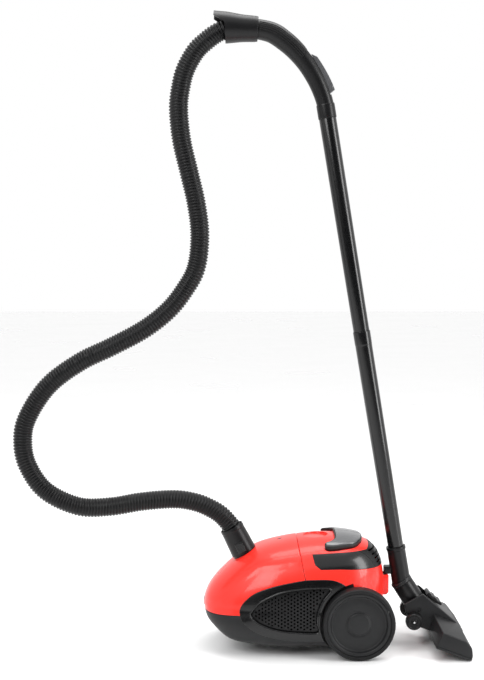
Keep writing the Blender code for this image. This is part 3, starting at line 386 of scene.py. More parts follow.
def hose():
    ends = [INLET + INLET_AXIS * (HOSE_IN_CUFF + inside) for inside in (0.028, 0.014, 0.0)]
    route = [Vector((x, 0.0, z)) for x, z in HOSE_UPPER + HOSE_LOWER] + ends
    fine = smooth_route(route, 1600)
    run = run_of(fine)
    ribs = int(run[-1] / RIB_PITCH)
    pitch = run[-1] / ribs
    turn = round(len([p for p in fine if p.z > HOSE_UPPER[-1][1]]) / len(fine) * ribs)
    made = {}
    for name, first, last, exit_at in (("hose_upper", 0, turn, 0), ("hose_lower", turn, ribs, -1)):
        wanted = [(rib + share) * pitch for rib in range(first, last) for share, _ in RIB]
        places = points_at(fine, run, wanted)
        radii = [HOSE_DIAMETER / 2 + drop for _, drop in RIB] * (last - first)
        mesh = swept_mesh(name, places, radii, sides=26)
        made[name] = piece(name, mesh, SATIN, None, "hose", smooth=50)
    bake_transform(made["hose_upper"])
    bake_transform(made["hose_lower"])


# ---- the canister's form ------------------------------------------------------------------
CENTRE = Vector((-0.085, 0.0, 0.1))
HALF_WIDTH = 0.1175
TOP_EXPONENT = 2.4
BOTTOM_EXPONENT = 5.0
PROFILE = [  # side silhouette as x, z, from the nose over the top and back underneath
    (-0.2725, 0.08), (-0.264, 0.121), (-0.243, 0.149), (-0.215, 0.175), (-0.1645, 0.206),
    (-0.1115, 0.2215), (-0.0455, 0.2315), (-0.01, 0.2325), (0.0281, 0.23), (0.057, 0.2235),
    (0.0795, 0.212), (0.0925, 0.197), (0.101, 0.176), (0.105, 0.145), (0.1055, 0.105), (0.1, 0.06),
    (0.085, 0.03), (0.055, 0.016), (0.0, 0.0125), (-0.07, 0.0125), (-0.14, 0.0145), (-0.19, 0.021),
    (-0.2265, 0.03), (-0.253, 0.049), (-0.2675, 0.064),
]
WALL = 0.0025
U_SCALE, V_SCALE = 0.145, 0.13  # metres for a radian round the body and across it


def periodic_spline(angles, values):
    """Slopes of the smooth closed curve through the values."""
    count = len(angles)
    steps = np.diff(np.append(angles, angles[0] + 2 * math.pi))
    rises = np.diff(np.append(values, values[0])) / steps
    system, right = np.zeros((count, count)), np.zeros(count)
    for i in range(count):
        before, after = steps[i - 1], steps[i]
        system[i, i] = 2 * (before + after)
        system[i, (i + 1) % count] += before
        system[i, (i - 1) % count] += after
        right[i] = 3 * (after * rises[i - 1] + before * rises[i])
    return np.linalg.solve(system, right), steps


PROFILE_POINTS = np.array(PROFILE) - np.array((CENTRE.x, CENTRE.z))
ORDER = np.argsort(np.arctan2(PROFILE_POINTS[:, 1], PROFILE_POINTS[:, 0]))
ANGLES = np.arctan2(PROFILE_POINTS[:, 1], PROFILE_POINTS[:, 0])[ORDER]
RADII = np.hypot(*PROFILE_POINTS.T)[ORDER]
SLOPES, STEPS = periodic_spline(ANGLES, RADII)


def profile_radius(angle):
    """Distance from the centre line to the side silhouette, for an array of angles."""
    angle = (np.asarray(angle) - ANGLES[0]) % (2 * math.pi) + ANGLES[0]
    i = np.clip(np.searchsorted(ANGLES, angle, side="right") - 1, 0, len(ANGLES) - 1)
    j = (i + 1) % len(ANGLES)
    u = (angle - ANGLES[i]) / STEPS[i]
    return (
        (2 * u**3 - 3 * u**2 + 1) * RADII[i] + (u**3 - 2 * u**2 + u) * SLOPES[i] * STEPS[i]
        + (3 * u**2 - 2 * u**3) * RADII[j] + (u**3 - u**2) * SLOPES[j] * STEPS[i]
    )


def exponent(angle):
    """How square the cross-section is: rounder on top, squarer underneath."""
    below = np.clip(-np.sin(angle) * 1.6, 0.0, 1.0)
    return TOP_EXPONENT + (BOTTOM_EXPONENT - TOP_EXPONENT) * below * below * (3 - 2 * below)


def skin(a, b, height=0.0):
    """Points on the body's surface, raised by height; a turns round the Y axis and b leans towards +Y."""
    direction = np.stack([np.cos(a) * np.cos(b), np.sin(b), np.sin(a) * np.cos(b)], axis=-1)
    power = exponent(a)
    across = np.abs(direction[..., 1]) / (HALF_WIDTH + height)
    along = np.hypot(direction[..., 0], direction[..., 2]) / (profile_radius(a) + height)
    reach = (across**power + along**power) ** (-1 / power)
    return np.array(CENTRE) + direction * reach[..., None]


def angles_of(points):
    """The a, b angles of points; a runs from 0 to a full turn."""
    p = np.asarray(points, float) - np.array(CENTRE)
    x, y, z = p[..., 0], p[..., 1], p[..., 2]
    return np.arctan2(z, x) % (2 * math.pi), np.arctan2(y, np.hypot(x, z))


def on_skin(points, height=0.0):
    return skin(*angles_of(points), height)


def unit(vectors):
    return vectors / np.linalg.norm(vectors, axis=1, keepdims=True)


def normals_at(points):
    """Outward normals of the surface at points on it."""
    points = np.asarray(points)
    out = unit(points - np.array(CENTRE))
    one = unit(np.cross(out, np.where(np.abs(out[:, :1]) < 0.7, (1.0, 0.0, 0.0), UP)))
    two = np.cross(out, one)
    step = 2e-4
    return unit(np.cross(
        on_skin(points + one * step) - on_skin(points - one * step),
        on_skin(points + two * step) - on_skin(points - two * step),
    ))


def flat(points, side):
    """A map of the skin, anticlockwise as seen from outside.

    Side 0 unrolls it round the body; side -1 or 1 looks straight at that side.
    """
    if side:
        return np.stack([-side * points[:, 0], points[:, 2]], axis=-1)
    a, b = angles_of(points)
    return np.stack([a * U_SCALE, -b * V_SCALE], axis=-1)


def width_at(share, power):
    """Half the body's width, by the share of the way out to the side silhouette."""
    return HALF_WIDTH * (1 - share**power) ** (1 / power)


def unflat(uv, side):
    """The surface points of flat ones."""
    if not side:
        return skin(uv[:, 0] / U_SCALE, -uv[:, 1] / V_SCALE)
    x, z = -side * uv[:, 0], uv[:, 1]
    angle = np.arctan2(z - CENTRE.z, x - CENTRE.x)
    power = exponent(angle)
    share = np.minimum(np.hypot(x - CENTRE.x, z - CENTRE.z) / profile_radius(angle), 1.0)
    return np.stack([x, side * width_at(share, power), z], axis=-1)


def side_point(x, z, side):
    """The surface point over x, z on one side of the body; it stays on the silhouette beyond it."""
    dx, dz = x - CENTRE.x, z - CENTRE.z
    angle = math.atan2(dz, dx)
    radius, power = float(profile_radius(angle)), float(exponent(angle))
    share = min(math.hypot(dx, dz) / radius, 1.0)
    if share >= 1.0:
        dx, dz = radius * math.cos(angle), radius * math.sin(angle)
    return Vector((CENTRE.x + dx, side * width_at(share, power), CENTRE.z + dz))


def side_points(path, side):
    return [side_point(x, z, side) for x, z in path]


def cast(points, direction, height=0.0, reach=0.12):
    """Where lines through the points, running along a direction into the body, meet its surface."""
    direction = np.array(Vector(direction).normalized())
    low, high = np.full(len(points), -reach), np.full(len(points), reach)
    points = np.array(points, float)
    for _ in range(40):
        middle = (low + high) / 2
        place = points + direction * middle[:, None]
        wall = on_skin(place, height) - np.array(CENTRE)
        inside = np.linalg.norm(place - np.array(CENTRE), axis=1) < np.linalg.norm(wall, axis=1)
        high = np.where(inside, middle, high)
        low = np.where(inside, low, middle)
    return [Vector(p) for p in points + direction * low[:, None]]


# ---- panels cut from that form ------------------------------------------------------------
def resampled(loop, step):
    """A closed loop with even spacing that keeps its sharp corners."""
    points = []
    for p in loop:
        if not points or (Vector(p) - points[-1]).length > 3e-4:
            points.append(Vector(p))
    if (points[0] - points[-1]).length < 3e-4:
        points.pop()
    count = len(points)
    turns = [(points[i] - points[i - 1]).angle(points[(i + 1) % count] - points[i]) for i in range(count)]
    corners = [i for i in range(count) if turns[i] > math.radians(16)] or [0]
    out = []
    for first, last in zip(corners, corners[1:] + [corners[0] + count]):
        span = [points[i % count] for i in range(first, last + 1)]
        run = run_of(span)
        out += points_at(span, run, np.linspace(0.0, run[-1], max(1, round(run[-1] / step)) + 1)[:-1])
    return out


def softened(loop, radius):
    """The loop with each sharp corner replaced by a small arc."""
    points = [Vector(p) for p in loop]
    out = []
    for i, here in enumerate(points):
        before, after = points[i - 1] - here, points[(i + 1) % len(points)] - here
        if before.length < 1e-6 or after.length < 1e-6:
            continue
        sharp = math.degrees(math.pi - before.angle(after)) >= 25.0
        out += corner_arc(here, before, after, radius) if sharp else [here]
    return out


def inside_loops(points, outer, holes):
    """Which flat points lie inside the outer loop and outside the holes."""
    keep = inside_loop(points, outer)
    for hole in holes:
        keep &= ~inside_loop(points, hole)
    return keep


def inside_loop(points, loop):
    """Even-odd test of flat points against a flat closed loop."""
    inside = np.zeros(len(points), bool)
    x, y = points[:, 0], points[:, 1]
    for (x0, y0), (x1, y1) in zip(loop, np.roll(loop, -1, axis=0)):
        if y0 == y1:
            continue
        crosses = (y0 > y) != (y1 > y)
        inside ^= crosses & (x < (x1 - x0) * (y - y0) / (y1 - y0) + x0)
    return inside


EDGE = [(0.0, -WALL), (0.0, -0.0007), (0.0002, -0.0002), (0.0007, 0.0)]


class Skin:
    """Collects the points, normals and faces of one panel."""

    def __init__(self):
        self.points, self.normals, self.faces = [], [], []

    def row(self, points, normals=None):
        """Adds points and gives their numbers; a zero normal is left to Blender."""
        first = len(self.points)
        self.points += [tuple(p) for p in points]
        self.normals += [(0.0, 0.0, 0.0)] * len(points) if normals is None else [tuple(n) for n in normals]
        return list(range(first, len(self.points)))

    def strip(self, outer, inner):
        for k in range(len(outer)):
            n = (k + 1) % len(outer)
            self.faces.append((outer[k], outer[n], inner[n], inner[k]))


def raised(points, height, wall):
    """The points lifted off the surface, straight out of it or along a wall's direction."""
    return np.array(cast(points, wall, height)) if wall else on_skin(points, height)


def inward_of(here, normal):
    """The way into a closed loop at each point, longer at corners so that an inset stays parallel."""
    ahead = unit(np.roll(here, -1, axis=0) - here)
    inward = np.cross(normal, ahead + np.roll(ahead, 1, axis=0))
    inward /= np.maximum(np.linalg.norm(inward, axis=1, keepdims=True), 1e-9)
    return inward / np.maximum(np.abs(np.sum(inward * np.cross(normal, ahead), axis=1)), 0.5)[:, None]


def grid_inside(flats, spacing):
    """Staggered points between the outer loop and the holes, clear of every edge."""
    (low_u, low_v), (high_u, high_v) = flats[0].min(0), flats[0].max(0)
    us = np.arange(low_u, high_u, spacing)
    vs = np.arange(low_v, high_v, spacing * 0.866)
    grid = np.array([(u + (spacing / 2 if k % 2 else 0), v) for k, v in enumerate(vs) for u in us])
    grid = grid[inside_loops(grid, flats[0], flats[1:])]
    edges = np.concatenate(flats)
    near = np.full(len(grid), np.inf)
    for first in range(0, len(edges), 400):
        gaps = np.linalg.norm(grid[:, None] - edges[first:first + 400][None], axis=2)
        near = np.minimum(near, np.min(gaps, axis=1))
    return grid[near > spacing * 0.45]


def triangles_between(flats, grid):
    """Triangles over the grid and the loops, as numbers into the loops' points and then the grid's."""
    links, start = [], 0
    for loop in flats:
        links += [(start + k, start + (k + 1) % len(loop)) for k in range(len(loop))]
        start += len(loop)
    points = np.concatenate([*flats, grid])
    _, _, faces, origins, _, _ = delaunay_2d_cdt([Vector(p) for p in points], links, [], 0, 1e-9)
    origin = [o[0] if o else -1 for o in origins]
    faces = [tuple(origin[i] for i in f) for f in faces if all(origin[i] >= 0 for i in f)]
    middles = np.array([np.mean([points[i] for i in f], axis=0) for f in faces])
    return [f for f, good in zip(faces, inside_loops(middles, flats[0], flats[1:])) if good]


def panel_mesh(name, outer, holes=(), edge=EDGE, hole_edge=None, spacing=0.005, step=0.003, hole_step=None,
               relief=None, side=0, wall=None):
    """A piece of the body's skin inside one loop of surface points and outside the holes.

    edge and hole_edge are rows of (distance from the loop, height); relief adds height inside them.
    The mesh is a closed shell: its front, walls down the edges, and a back at the lowest height.
    """
    hole_edge = hole_edge or edge
    made = Skin()
    last_flats, last_rows, deep_rows = [], [], []
    extra = relief or (lambda points: 0.0)
    smooth = relief is None
    for loop in (outer, *holes):
        is_outer = loop is outer
        rows = edge if is_outer else hole_edge
        loop = np.array(resampled(loop, step if is_outer else (hole_step or step)))
        u, v = flat(loop, side).T
        if (np.sum(u * np.roll(v, -1) - np.roll(u, -1) * v) > 0) != is_outer:
            loop = loop[::-1]
        here = on_skin(loop)
        inward = inward_of(here, normals_at(here))
        before = None
        for distance, height in rows:
            moved = on_skin(here + inward * distance)
            final = (distance, height) == rows[-1]
            place = raised(moved, height + extra(moved), wall)
            ids = made.row(place, normals_at(moved) if final and smooth else None)
            if before:
                made.strip(before, ids)
            else:
                deep_rows.append(ids)
            before = ids
        last_rows.append(before)
        last_flats.append(flat(moved, side))
    grid = grid_inside(last_flats, spacing)
    place = unflat(grid, side)
    front = raised(place, edge[-1][1] + extra(place), wall)
    ids = [i for row in last_rows for i in row] + made.row(front, normals_at(place) if smooth else None)
    turned_over = []
    for triangle in triangles_between(last_flats, grid):
        f = tuple(ids[i] for i in triangle)
        p, q, r = (Vector(made.points[i]) for i in f)
        outward = (q - p).cross(r - p).dot((p + q + r) / 3 - CENTRE)
        turned_over.append(f if outward > 0 else f[::-1])
    made.faces += turned_over
    used = sorted({i for f in [*turned_over, *last_rows] for i in f})
    lowest = min(edge[0][1], hole_edge[0][1])
    behind = made.row(raised(np.array([made.points[i] for i in used]), lowest, wall))
    back = dict(zip(used, behind))
    made.faces += [tuple(back[i] for i in f[::-1]) for f in turned_over]
    for deep, last in zip(deep_rows, last_rows):
        made.strip([back[i] for i in last], deep)
    return mesh_of(name, made.points, made.faces), made.normals


def panel(name, finish, body, nodes, *loops, **settings):
    mesh, normals = panel_mesh(name, *loops, **settings)
    made = piece(name, mesh, finish, body, *nodes, smooth=40)
    if len(mesh.vertices) == len(normals):
        mesh.normals_split_custom_set_from_vertices(normals)
    return made


# ---- the canister's shells ----------------------------------------------------------------
SEAM_TOP = Vector((-0.0785, 0.0, 0.232))  # joint between lid and rear housing at the crown
SEAM_SLOPE = 0.217
LID_GAP = 0.0012
WHEEL = Vector((0.0442, 0.0, 0.074))
WELL_RADIUS, FRAME_ARCH = 0.0785, 0.079
WELL_Y = 0.0985
CASTOR = Vector((-0.165, 0.0, 0.0))
DISH, DISH_RADIUS = (-0.038, 0.0, 0.25), 0.026  # thumb hollow, over its place on the housing
NOSE_X, BACK_X, OVER_BODY = -0.28, 0.13, 0.24  # planes in front of the body, behind and above it
BACKWARD, FORWARD = (1.0, 0.0, 0.0), (-1.0, 0.0, 0.0)
VENT = [  # outer edge of the side vent frame, x, z, from the nose over the top and back below
    (-0.1975, 0.092), (-0.1955, 0.104), (-0.1845, 0.119), (-0.1627, 0.1353), (-0.1246, 0.1495),
    (-0.0756, 0.16), (-0.0492, 0.1625), (-0.0145, 0.162), (0.006, 0.156), (0.024, 0.144),
]
VENT_BELOW = [
    (-0.0245, 0.036), (-0.0752, 0.036), (-0.119, 0.0415), (-0.1518, 0.05), (-0.1772, 0.0629),
    (-0.1917, 0.076),
]
GRILLE = [  # inner edge of the frame
    (-0.1755, 0.092), (-0.1555, 0.115), (-0.1155, 0.135), (-0.0755, 0.143), (-0.0445, 0.145),
    (-0.0145, 0.1425), (-0.029, 0.123), (-0.039, 0.099), (-0.042, 0.076), (-0.04, 0.056),
    (-0.0835, 0.056), (-0.1225, 0.061), (-0.1555, 0.073), (-0.1725, 0.085),
]
BAND = [  # glossy band that wraps round the back, x, z
    (-0.049, 0.208), (0.0, 0.21), (0.066, 0.211), (0.0735, 0.217), (0.13, 0.217), (0.13, 0.173),
    (0.075, 0.1765), (0.006, 0.1815), (-0.032, 0.1815), (-0.044, 0.19),
]


def curve_through(points, count):
    """Extra points on a smooth open curve through x, z points."""
    return [(p.x, p.z) for p in smooth_route([(x, 0.0, z) for x, z in points], count)]


VENT_OPEN = curve_through([*VENT_BELOW, *VENT], 240)
HINGE_PIN = (-0.045, 0.219)  # x, z
HINGE_ARM = [  # gooseneck that carries the lid, x, z from the hinge pin
    (-0.05, 0.006), (-0.0395, 0.006), (-0.0385, -0.004), (-0.037, -0.013), (-0.031, -0.026),
    (-0.022, -0.03), (-0.0045, -0.005), (-0.004, 0.001), (-0.0028, 0.003), (0.0028, 0.003),
    (0.004, 0.001), (0.005, -0.007), (-0.018, -0.0355), (-0.036, -0.031), (-0.043, -0.015),
    (-0.045, -0.003),
]


def share_of(x, z):
    """How far out towards the side silhouette a place is; 1 is on it."""
    dx, dz = x - CENTRE.x, z - CENTRE.z
    return math.hypot(dx, dz) / float(profile_radius(math.atan2(dz, dx)))


def drawn(path, side, steps=30):
    """Surface points over a path of x, z points, which stops where it leaves the silhouette."""
    out = []
    for (x0, z0), (x1, z1) in zip(path, path[1:]):
        shares = share_of(x0, z0), share_of(x1, z1)
        low, high = 0.0, 1.0
        if max(shares) > 1:
            for _ in range(40):
                middle = (low + high) / 2
                outside = share_of(x0 + (x1 - x0) * middle, z0 + (z1 - z0) * middle) > 1
                low, high = (middle, high) if outside == (shares[0] > 1) else (low, middle)
        for k in range(steps + 1):
            s = k / steps
            t = s
            if shares[0] > 1:
                t = low + (1 - low) * s * s
            elif shares[1] > 1:
                t = low * (1 - (1 - s) ** 2)
            out.append(side_point(x0 + (x1 - x0) * t, z0 + (z1 - z0) * t, side))
    return out


def level(y, start, end, side, steps=60):
    """The curve on the body's surface at a distance y from the middle plane, between two angles."""
    out = []
    for k in range(steps + 1):
        angle = start + (end - start) * k / steps
        power = float(exponent(angle))
        reach = float(profile_radius(angle)) * (1 - (y / HALF_WIDTH) ** power) ** (1 / power)
        out.append(Vector((CENTRE.x + reach * math.cos(angle), side * y,
                           CENTRE.z + reach * math.sin(angle))))
    return out


def angle_at(point):
    return math.atan2(point.z - CENTRE.z, point.x - CENTRE.x)


def mirrored(points):
    return [Vector((p.x, -p.y, p.z)) for p in points]


def both(path):
    """Closes a path on the left side, from one silhouette point to another, with its mirror image."""
    return path + mirrored(path[::-1])


def arch(start, end, side, radius=WELL_RADIUS, steps=60):
    """Surface points over an arc of the wheel arch; angles in degrees, anticlockwise in x, z."""
    angles = [math.radians(start + (end - start) * k / steps) for k in range(steps + 1)]
    return side_points([(WHEEL.x + radius * math.cos(a),
                         WHEEL.z + radius * math.sin(a)) for a in angles], side)


def seam_x(z):
    return SEAM_TOP.x + SEAM_SLOPE * (SEAM_TOP.z - z)


def seam_points(offset=0.0):
    """The lid's joint on one side, from the crown down, moved along x by the offset."""
    return [(seam_x(z) + offset, z) for z in (0.245, 0.2, 0.165)]


def circle(centre, radius, direction, count=48):
    turn = on_axis(centre, direction)
    return [turn @ Vector((radius * c, radius * s, 0.0)) for c, s in compass(count)]


def rectangle(x, y, low, high):
    """The corners of an upright rectangle that faces along x."""
    return [(x, -y, low), (x, y, low), (x, y, high), (x, -y, high)]


def wheel_side(start, end, side, steps=200):
    """The arch from one angle to another, only where the body is wider than the wheel well's floor."""
    return [p for p in arch(start, end, side, steps=steps) if abs(p.y) >= WELL_Y]


def grown(points, distance):
    """A closed x, y outline moved outwards."""
    area = sum(x0 * y1 - x1 * y0 for (x0, y0), (x1, y1) in zip(points, points[1:] + points[:1]))
    out = []
    for i, here in enumerate(points):
        before = (Vector(here) - Vector(points[i - 1])).normalized()
        after = (Vector(points[(i + 1) % len(points)]) - Vector(here)).normalized()
        normal = Vector((before.y + after.y, -before.x - after.x)).normalized()
        if area < 0:
            normal.negate()
        reach = distance / max(abs(normal.dot(Vector((after.y, -after.x)))), 0.4)
        out.append((here[0] + normal.x * reach, here[1] + normal.y * reach))
    return out


SHOULDER = [(-0.265, 0.092), (-0.2157, 0.139), (-0.157, 0.185), (-0.098, 0.196), (-0.063, 0.195)]  # x, z


def shoulder(points):
    """The lid's soft shoulder line, steeper below than above, which fades out towards the seam."""
    above = points[:, 2] - np.interp(points[:, 0], *zip(*SHOULDER))
    spread = np.where(above > 0, 0.026, 0.0065)
    return 0.0015 * np.exp(-((above / spread) ** 2)) * np.clip((-0.066 - points[:, 0]) / 0.012, 0.0, 1.0)


def clear_of_wheel(path, radius):
    return [(x, z) for x, z in path if math.hypot(x - WHEEL.x, z - WHEEL.z) > radius]


def shells():
    front_part = [(x, z) for x, z in VENT_OPEN if z > 0.0868 and x < seam_x(z) - LID_GAP]
    rear_part = clear_of_wheel([(x, z) for x, z in VENT_OPEN if z > 0.12 and x > seam_x(z)], WELL_RADIUS)
    low_part = [(x, z) for x, z in VENT_OPEN if z < 0.0862]
    seam = seam_points(-LID_GAP)
    path = drawn(seam, -1) + drawn([seam[-1], front_part[-1]], -1, 2) + side_points(front_part[::-1], -1)
    path += drawn([(-0.1976, 0.087), (-0.3, 0.0766)], -1)
    holes = [
        cast(circle(INLET, 0.0246, INLET_AXIS), -INLET_AXIS),
        cast(circle((-0.1144, 0.0, 0.2212), 0.0048, (-0.26, 0.0, 1.0), 24), (0.26, 0.0, -1.0)),
        cast(resampled(softened(rectangle(NOSE_X, 0.0146, 0.0834, 0.0996), 0.002), 0.0012), BACKWARD),
    ]
    panel("lid_shell", RED, "lid", ["front_lid"], both(path), holes=holes, hole_step=0.0015, spacing=0.0032,
          relief=shoulder)
    arms = []
    for side, _ in SIDES:
        outline = []
        for x, z in HINGE_ARM:
            roof = cast([(HINGE_PIN[0] + x, side * 0.04, OVER_BODY)], DOWN, -0.0012)[0].z
            outline.append((HINGE_PIN[0] + x, min(HINGE_PIN[1] + z, roof)))
        arms.append(slab(outline, *sorted((side * 0.034, side * 0.04)), bevel=0.0006))
    piece("lid_hinge_arms", joined("lid_hinge_arms", *arms), RED, "lid", "front_lid")

    arc = wheel_side(108.0, -20.0, -1)
    path = drawn(seam_points(), -1) + side_points(rear_part, -1) + arc
    path += level(WELL_Y, angle_at(arc[-1]), 0.005, -1) + drawn([(0.038, 0.1006), (0.15, 0.1006)], -1)
    band = drawn(BAND[4:0:-1] + BAND[:1], -1) + drawn([BAND[0], *BAND[:4:-1]], -1)
    holes = [both(band), cast(circle(DISH, DISH_RADIUS, UP), DOWN)]
    panel("rear_shell", RED, "canister", ["rear_housing"], both(path), holes=holes, spacing=0.0042)

    arc = wheel_side(209.0, 330.0, -1)
    path = drawn([(-0.3, 0.076), (-0.1968, 0.0866)], -1) + side_points(low_part[::-1], -1) + arc
    path += level(WELL_Y, angle_at(arc[-1]), -0.002, -1) + drawn([(0.038, 0.0998), (0.15, 0.0998)], -1)
    holes = [cast(circle(CASTOR, 0.03, UP), UP)]
    panel("chassis_shell", DARK, "canister", ["lower_chassis"], both(path), holes=holes, spacing=0.0046)


# ---- trim, grilles and buttons ------------------------------------------------------------
EXHAUST_HALF_WIDTH = 0.062
CONSOLE_HALF = [  # left half of the pedal console seen from above, x, y
    (0.0005, 0.0), (0.0005, -0.03), (-0.002, -0.047), (-0.01, -0.056), (-0.0195, -0.0605),
    (-0.0229, -0.066), (-0.0205, -0.0715), (-0.012, -0.0735), (0.0087, -0.07), (0.0391, -0.0575),
    (0.052, -0.04), (0.058, -0.02), (0.059, 0.0),
]
FRAME_EDGE = [(0.0, -0.003), (0.0, 0.0008), (0.0004, 0.0013), (0.0012, 0.0015)]
BEAD_EDGE = [(0.0, -0.0045), (0.0, 0.0012), (0.0005, 0.0022), (0.0014, 0.0026), (0.0024, 0.0022),
             (0.0032, 0.0015)]
GRILLE_EDGE = [(0.0, -0.006), (0.0, -0.0042), (0.0003, -0.0039)]
BAND_EDGE = [(0.0, -0.0025), (0.0, 0.0001), (0.0003, 0.0006), (0.001, 0.0008)]
PEDAL_EDGE = [(0.0, 0.0068), (0.0, 0.0088), (0.0005, 0.0095), (0.0014, 0.0098)]
RIM_EDGE = [(0.0, 0.0004), (0.0, 0.0074), (0.0003, 0.0079), (0.0006, 0.008)]
# edge rows of the sheet of painted shade that lies behind each grille
SHADE_SHEET_EDGE = [(0.0, -0.009), (0.0, -0.0084), (0.0003, -0.008)]
SLOT_EDGE = [(0.0, -0.0025), (0.0, -0.0001), (0.0003, 0.0004)]
FLOOR_EDGE = [(0.0, 0.001), (0.0, 0.003), (0.0003, 0.0035)]
LATCH_EDGE = [(0.0, -0.006), (0.0, 0.0008), (0.0003, 0.0013), (0.0009, 0.0015)]
LATCH_Z = 0.0915
HOLE_PITCH = (0.0068, 0.00785)
HOLE_RADIUS = 0.0023


def side_vents():
    outline = curve_through([*GRILLE, GRILLE[0]], 150)[:-1]
    frame_path = clear_of_wheel(VENT_OPEN, FRAME_ARCH)
    spots = []
    for column in range(24):
        for row in range(16):
            lift = HOLE_PITCH[1] / 2 if column % 2 else 0.0
            spots.append((-0.175 + column * HOLE_PITCH[0], 0.052 + row * HOLE_PITCH[1] + lift))
    inside = inside_loop(np.array(spots), np.array(grown(outline, -0.0026)))
    spots = [spot for spot, good in zip(spots, inside) if good]
    turns = [math.radians(36 * k) for k in range(10)]
    hole = [(HOLE_RADIUS * math.cos(a), HOLE_RADIUS * math.sin(a)) for a in turns]
    for side, word in SIDES:
        loop = side_points(frame_path, side) + arch(109.3, 208.9, side, radius=FRAME_ARCH)
        window = side_points(outline, side)
        panel(f"{word}_frame", BLACK, "canister", [f"{word}_vent_frame"], loop, holes=[window],
              edge=FRAME_EDGE, hole_edge=BEAD_EDGE, spacing=0.0035, step=0.0025, side=side)
        loop = side_points(grown(outline, 0.0028), side)
        holes = [side_points([(x + dx, z + dz) for dx, dz in hole], side) for x, z in spots]
        panel(f"{word}_grille", SATIN, "canister", [f"{word}_vent_grille"], loop, holes=holes,
              edge=GRILLE_EDGE, hole_step=0.0014, spacing=0.004, side=side)
        # A near-black sheet behind each grille: painted shade, seen through the grille holes in place of
        # the dark inside of the vent
        panel(f"{word}_grille_painted_shade", SHADE_BLACK, "canister", [], loop, edge=SHADE_SHEET_EDGE, spacing=0.008,
              step=0.005, side=side)


def band():
    """The glossy band at both sides, and the louvred exhaust panel between them."""
    top = drawn(BAND[:5], -1, 60)
    low = drawn([BAND[0], *BAND[:4:-1]], -1, 60)
    upper, lower = ([p for p in line if abs(p.y) > EXHAUST_HALF_WIDTH] for line in (top, low))
    end = level(EXHAUST_HALF_WIDTH, angle_at(upper[-1]), angle_at(lower[-1]), -1)
    left = upper + end + lower[::-1]
    for word, loop in (("left", left), ("right", mirrored(left))):
        panel(f"{word}_band", BLACK, "canister", [f"{word}_trim_band"], loop, edge=BAND_EDGE,
              spacing=0.0035, step=0.0025)
    width = EXHAUST_HALF_WIDTH - 0.0003
    upper, lower = ([p for p in line if abs(p.y) < width] for line in (top, low))
    path = level(width, angle_at(lower[0]), angle_at(upper[0]), -1) + upper
    loop = both(path) + mirrored(lower) + lower[::-1]
    slots = []
    for row in range(4):
        z = 0.183 + row * 0.0078
        slots.append(cast(resampled(softened(rectangle(BACK_X, 0.05, z, z + 0.003), 0.0014), 0.0025),
                          FORWARD))
    panel("exhaust_panel", SATIN, "canister", ["exhaust_grille"], loop, holes=slots, edge=BAND_EDGE,
          hole_edge=SLOT_EDGE, spacing=0.0035, hole_step=0.0025)


def marks(points):
    """A shallow oval in the middle of each pedal."""
    across = ((points[:, 0] - 0.0229) / 0.0085) ** 2 + ((np.abs(points[:, 1]) - 0.045) / 0.0055) ** 2
    ring = np.exp(-((across - 1.0) / 0.28) ** 2)
    return -0.0006 * ring


def console():
    half = [(p.x, p.y) for p in smooth_route([(x, y, 0.0) for x, y in CONSOLE_HALF], 90)]
    outline = half + [(x, -y) for x, y in half[-2:0:-1]]

    def crown(points):
        return cast([(x, y, OVER_BODY) for x, y in points], DOWN)

    panel("console_rim", DARK, "canister", ["pedal_console"], crown(outline),
          holes=[crown(grown(outline, -0.0018))], edge=RIM_EDGE, spacing=0.0016, step=0.002, wall=DOWN)
    panel("console_floor", DARK, "canister", ["pedal_console"], crown(grown(outline, -0.0017)),
          edge=FLOOR_EDGE, spacing=0.004, step=0.003, wall=DOWN)
    ends = grown(outline, -0.0023)[: len(half)]
    ends[0], ends[-1] = (ends[0][0], -0.0003), (ends[-1][0], -0.0003)
    for side, word in ((-1, "power"), (1, "rewind")):
        shape = crown([(x, -side * y) for x, y in ends])
        panel(f"{word}_pedal_cap", GREY, f"{word}_pedal", [f"{word}_pedal"], shape, edge=PEDAL_EDGE,
              relief=marks, spacing=0.0013, step=0.0016, wall=DOWN)


def ridges(points):
    """Three grip ridges across the latch."""
    height = points[:, 2] - LATCH_Z
    rows = np.abs((height + 0.009) % 0.0036 - 0.0018)
    inside = np.clip((0.0105 - np.abs(points[:, 1])) / 0.001, 0, 1)
    inside = inside * np.clip((0.0055 - np.abs(height)) / 0.001, 0, 1)
    return 0.0008 * np.clip(1 - rows / 0.0009, 0, 1) * inside


def latch():
    face = rectangle(NOSE_X, 0.014, LATCH_Z - 0.0075, LATCH_Z + 0.0075)
    loop = cast(resampled(softened(face, 0.0018), 0.001), BACKWARD)
    panel("latch_button", BLACK, "latch", ["lid_latch"], loop, spacing=0.0007, step=0.001, relief=ridges,
          edge=LATCH_EDGE)


# ---- turned, swept and boxed pieces -------------------------------------------------------
def joined(name, *meshes):
    form = bmesh.new()
    for mesh in meshes:
        form.from_mesh(mesh)
    return finished(form, name)


def bevelled(form, edges, offset, segments=3):
    bmesh.ops.bevel(form, geom=edges, offset=offset, segments=segments, profile=0.5, affect="EDGES",
                    clamp_overlap=True)


def block(low, high, matrix=None, bevel=0.0008):
    form = bmesh.new()
    bmesh.ops.create_cube(form, size=1.0)
    size = Vector(high) - Vector(low)
    middle = (Vector(high) + Vector(low)) / 2
    fit = Matrix.Translation(middle) @ Matrix.Diagonal((*size, 1.0))
    bmesh.ops.transform(form, matrix=fit, verts=form.verts)
    if bevel:
        bevelled(form, form.edges[:], bevel)
    bmesh.ops.transform(form, matrix=matrix or Matrix(), verts=form.verts)
    return finished(form, "block")


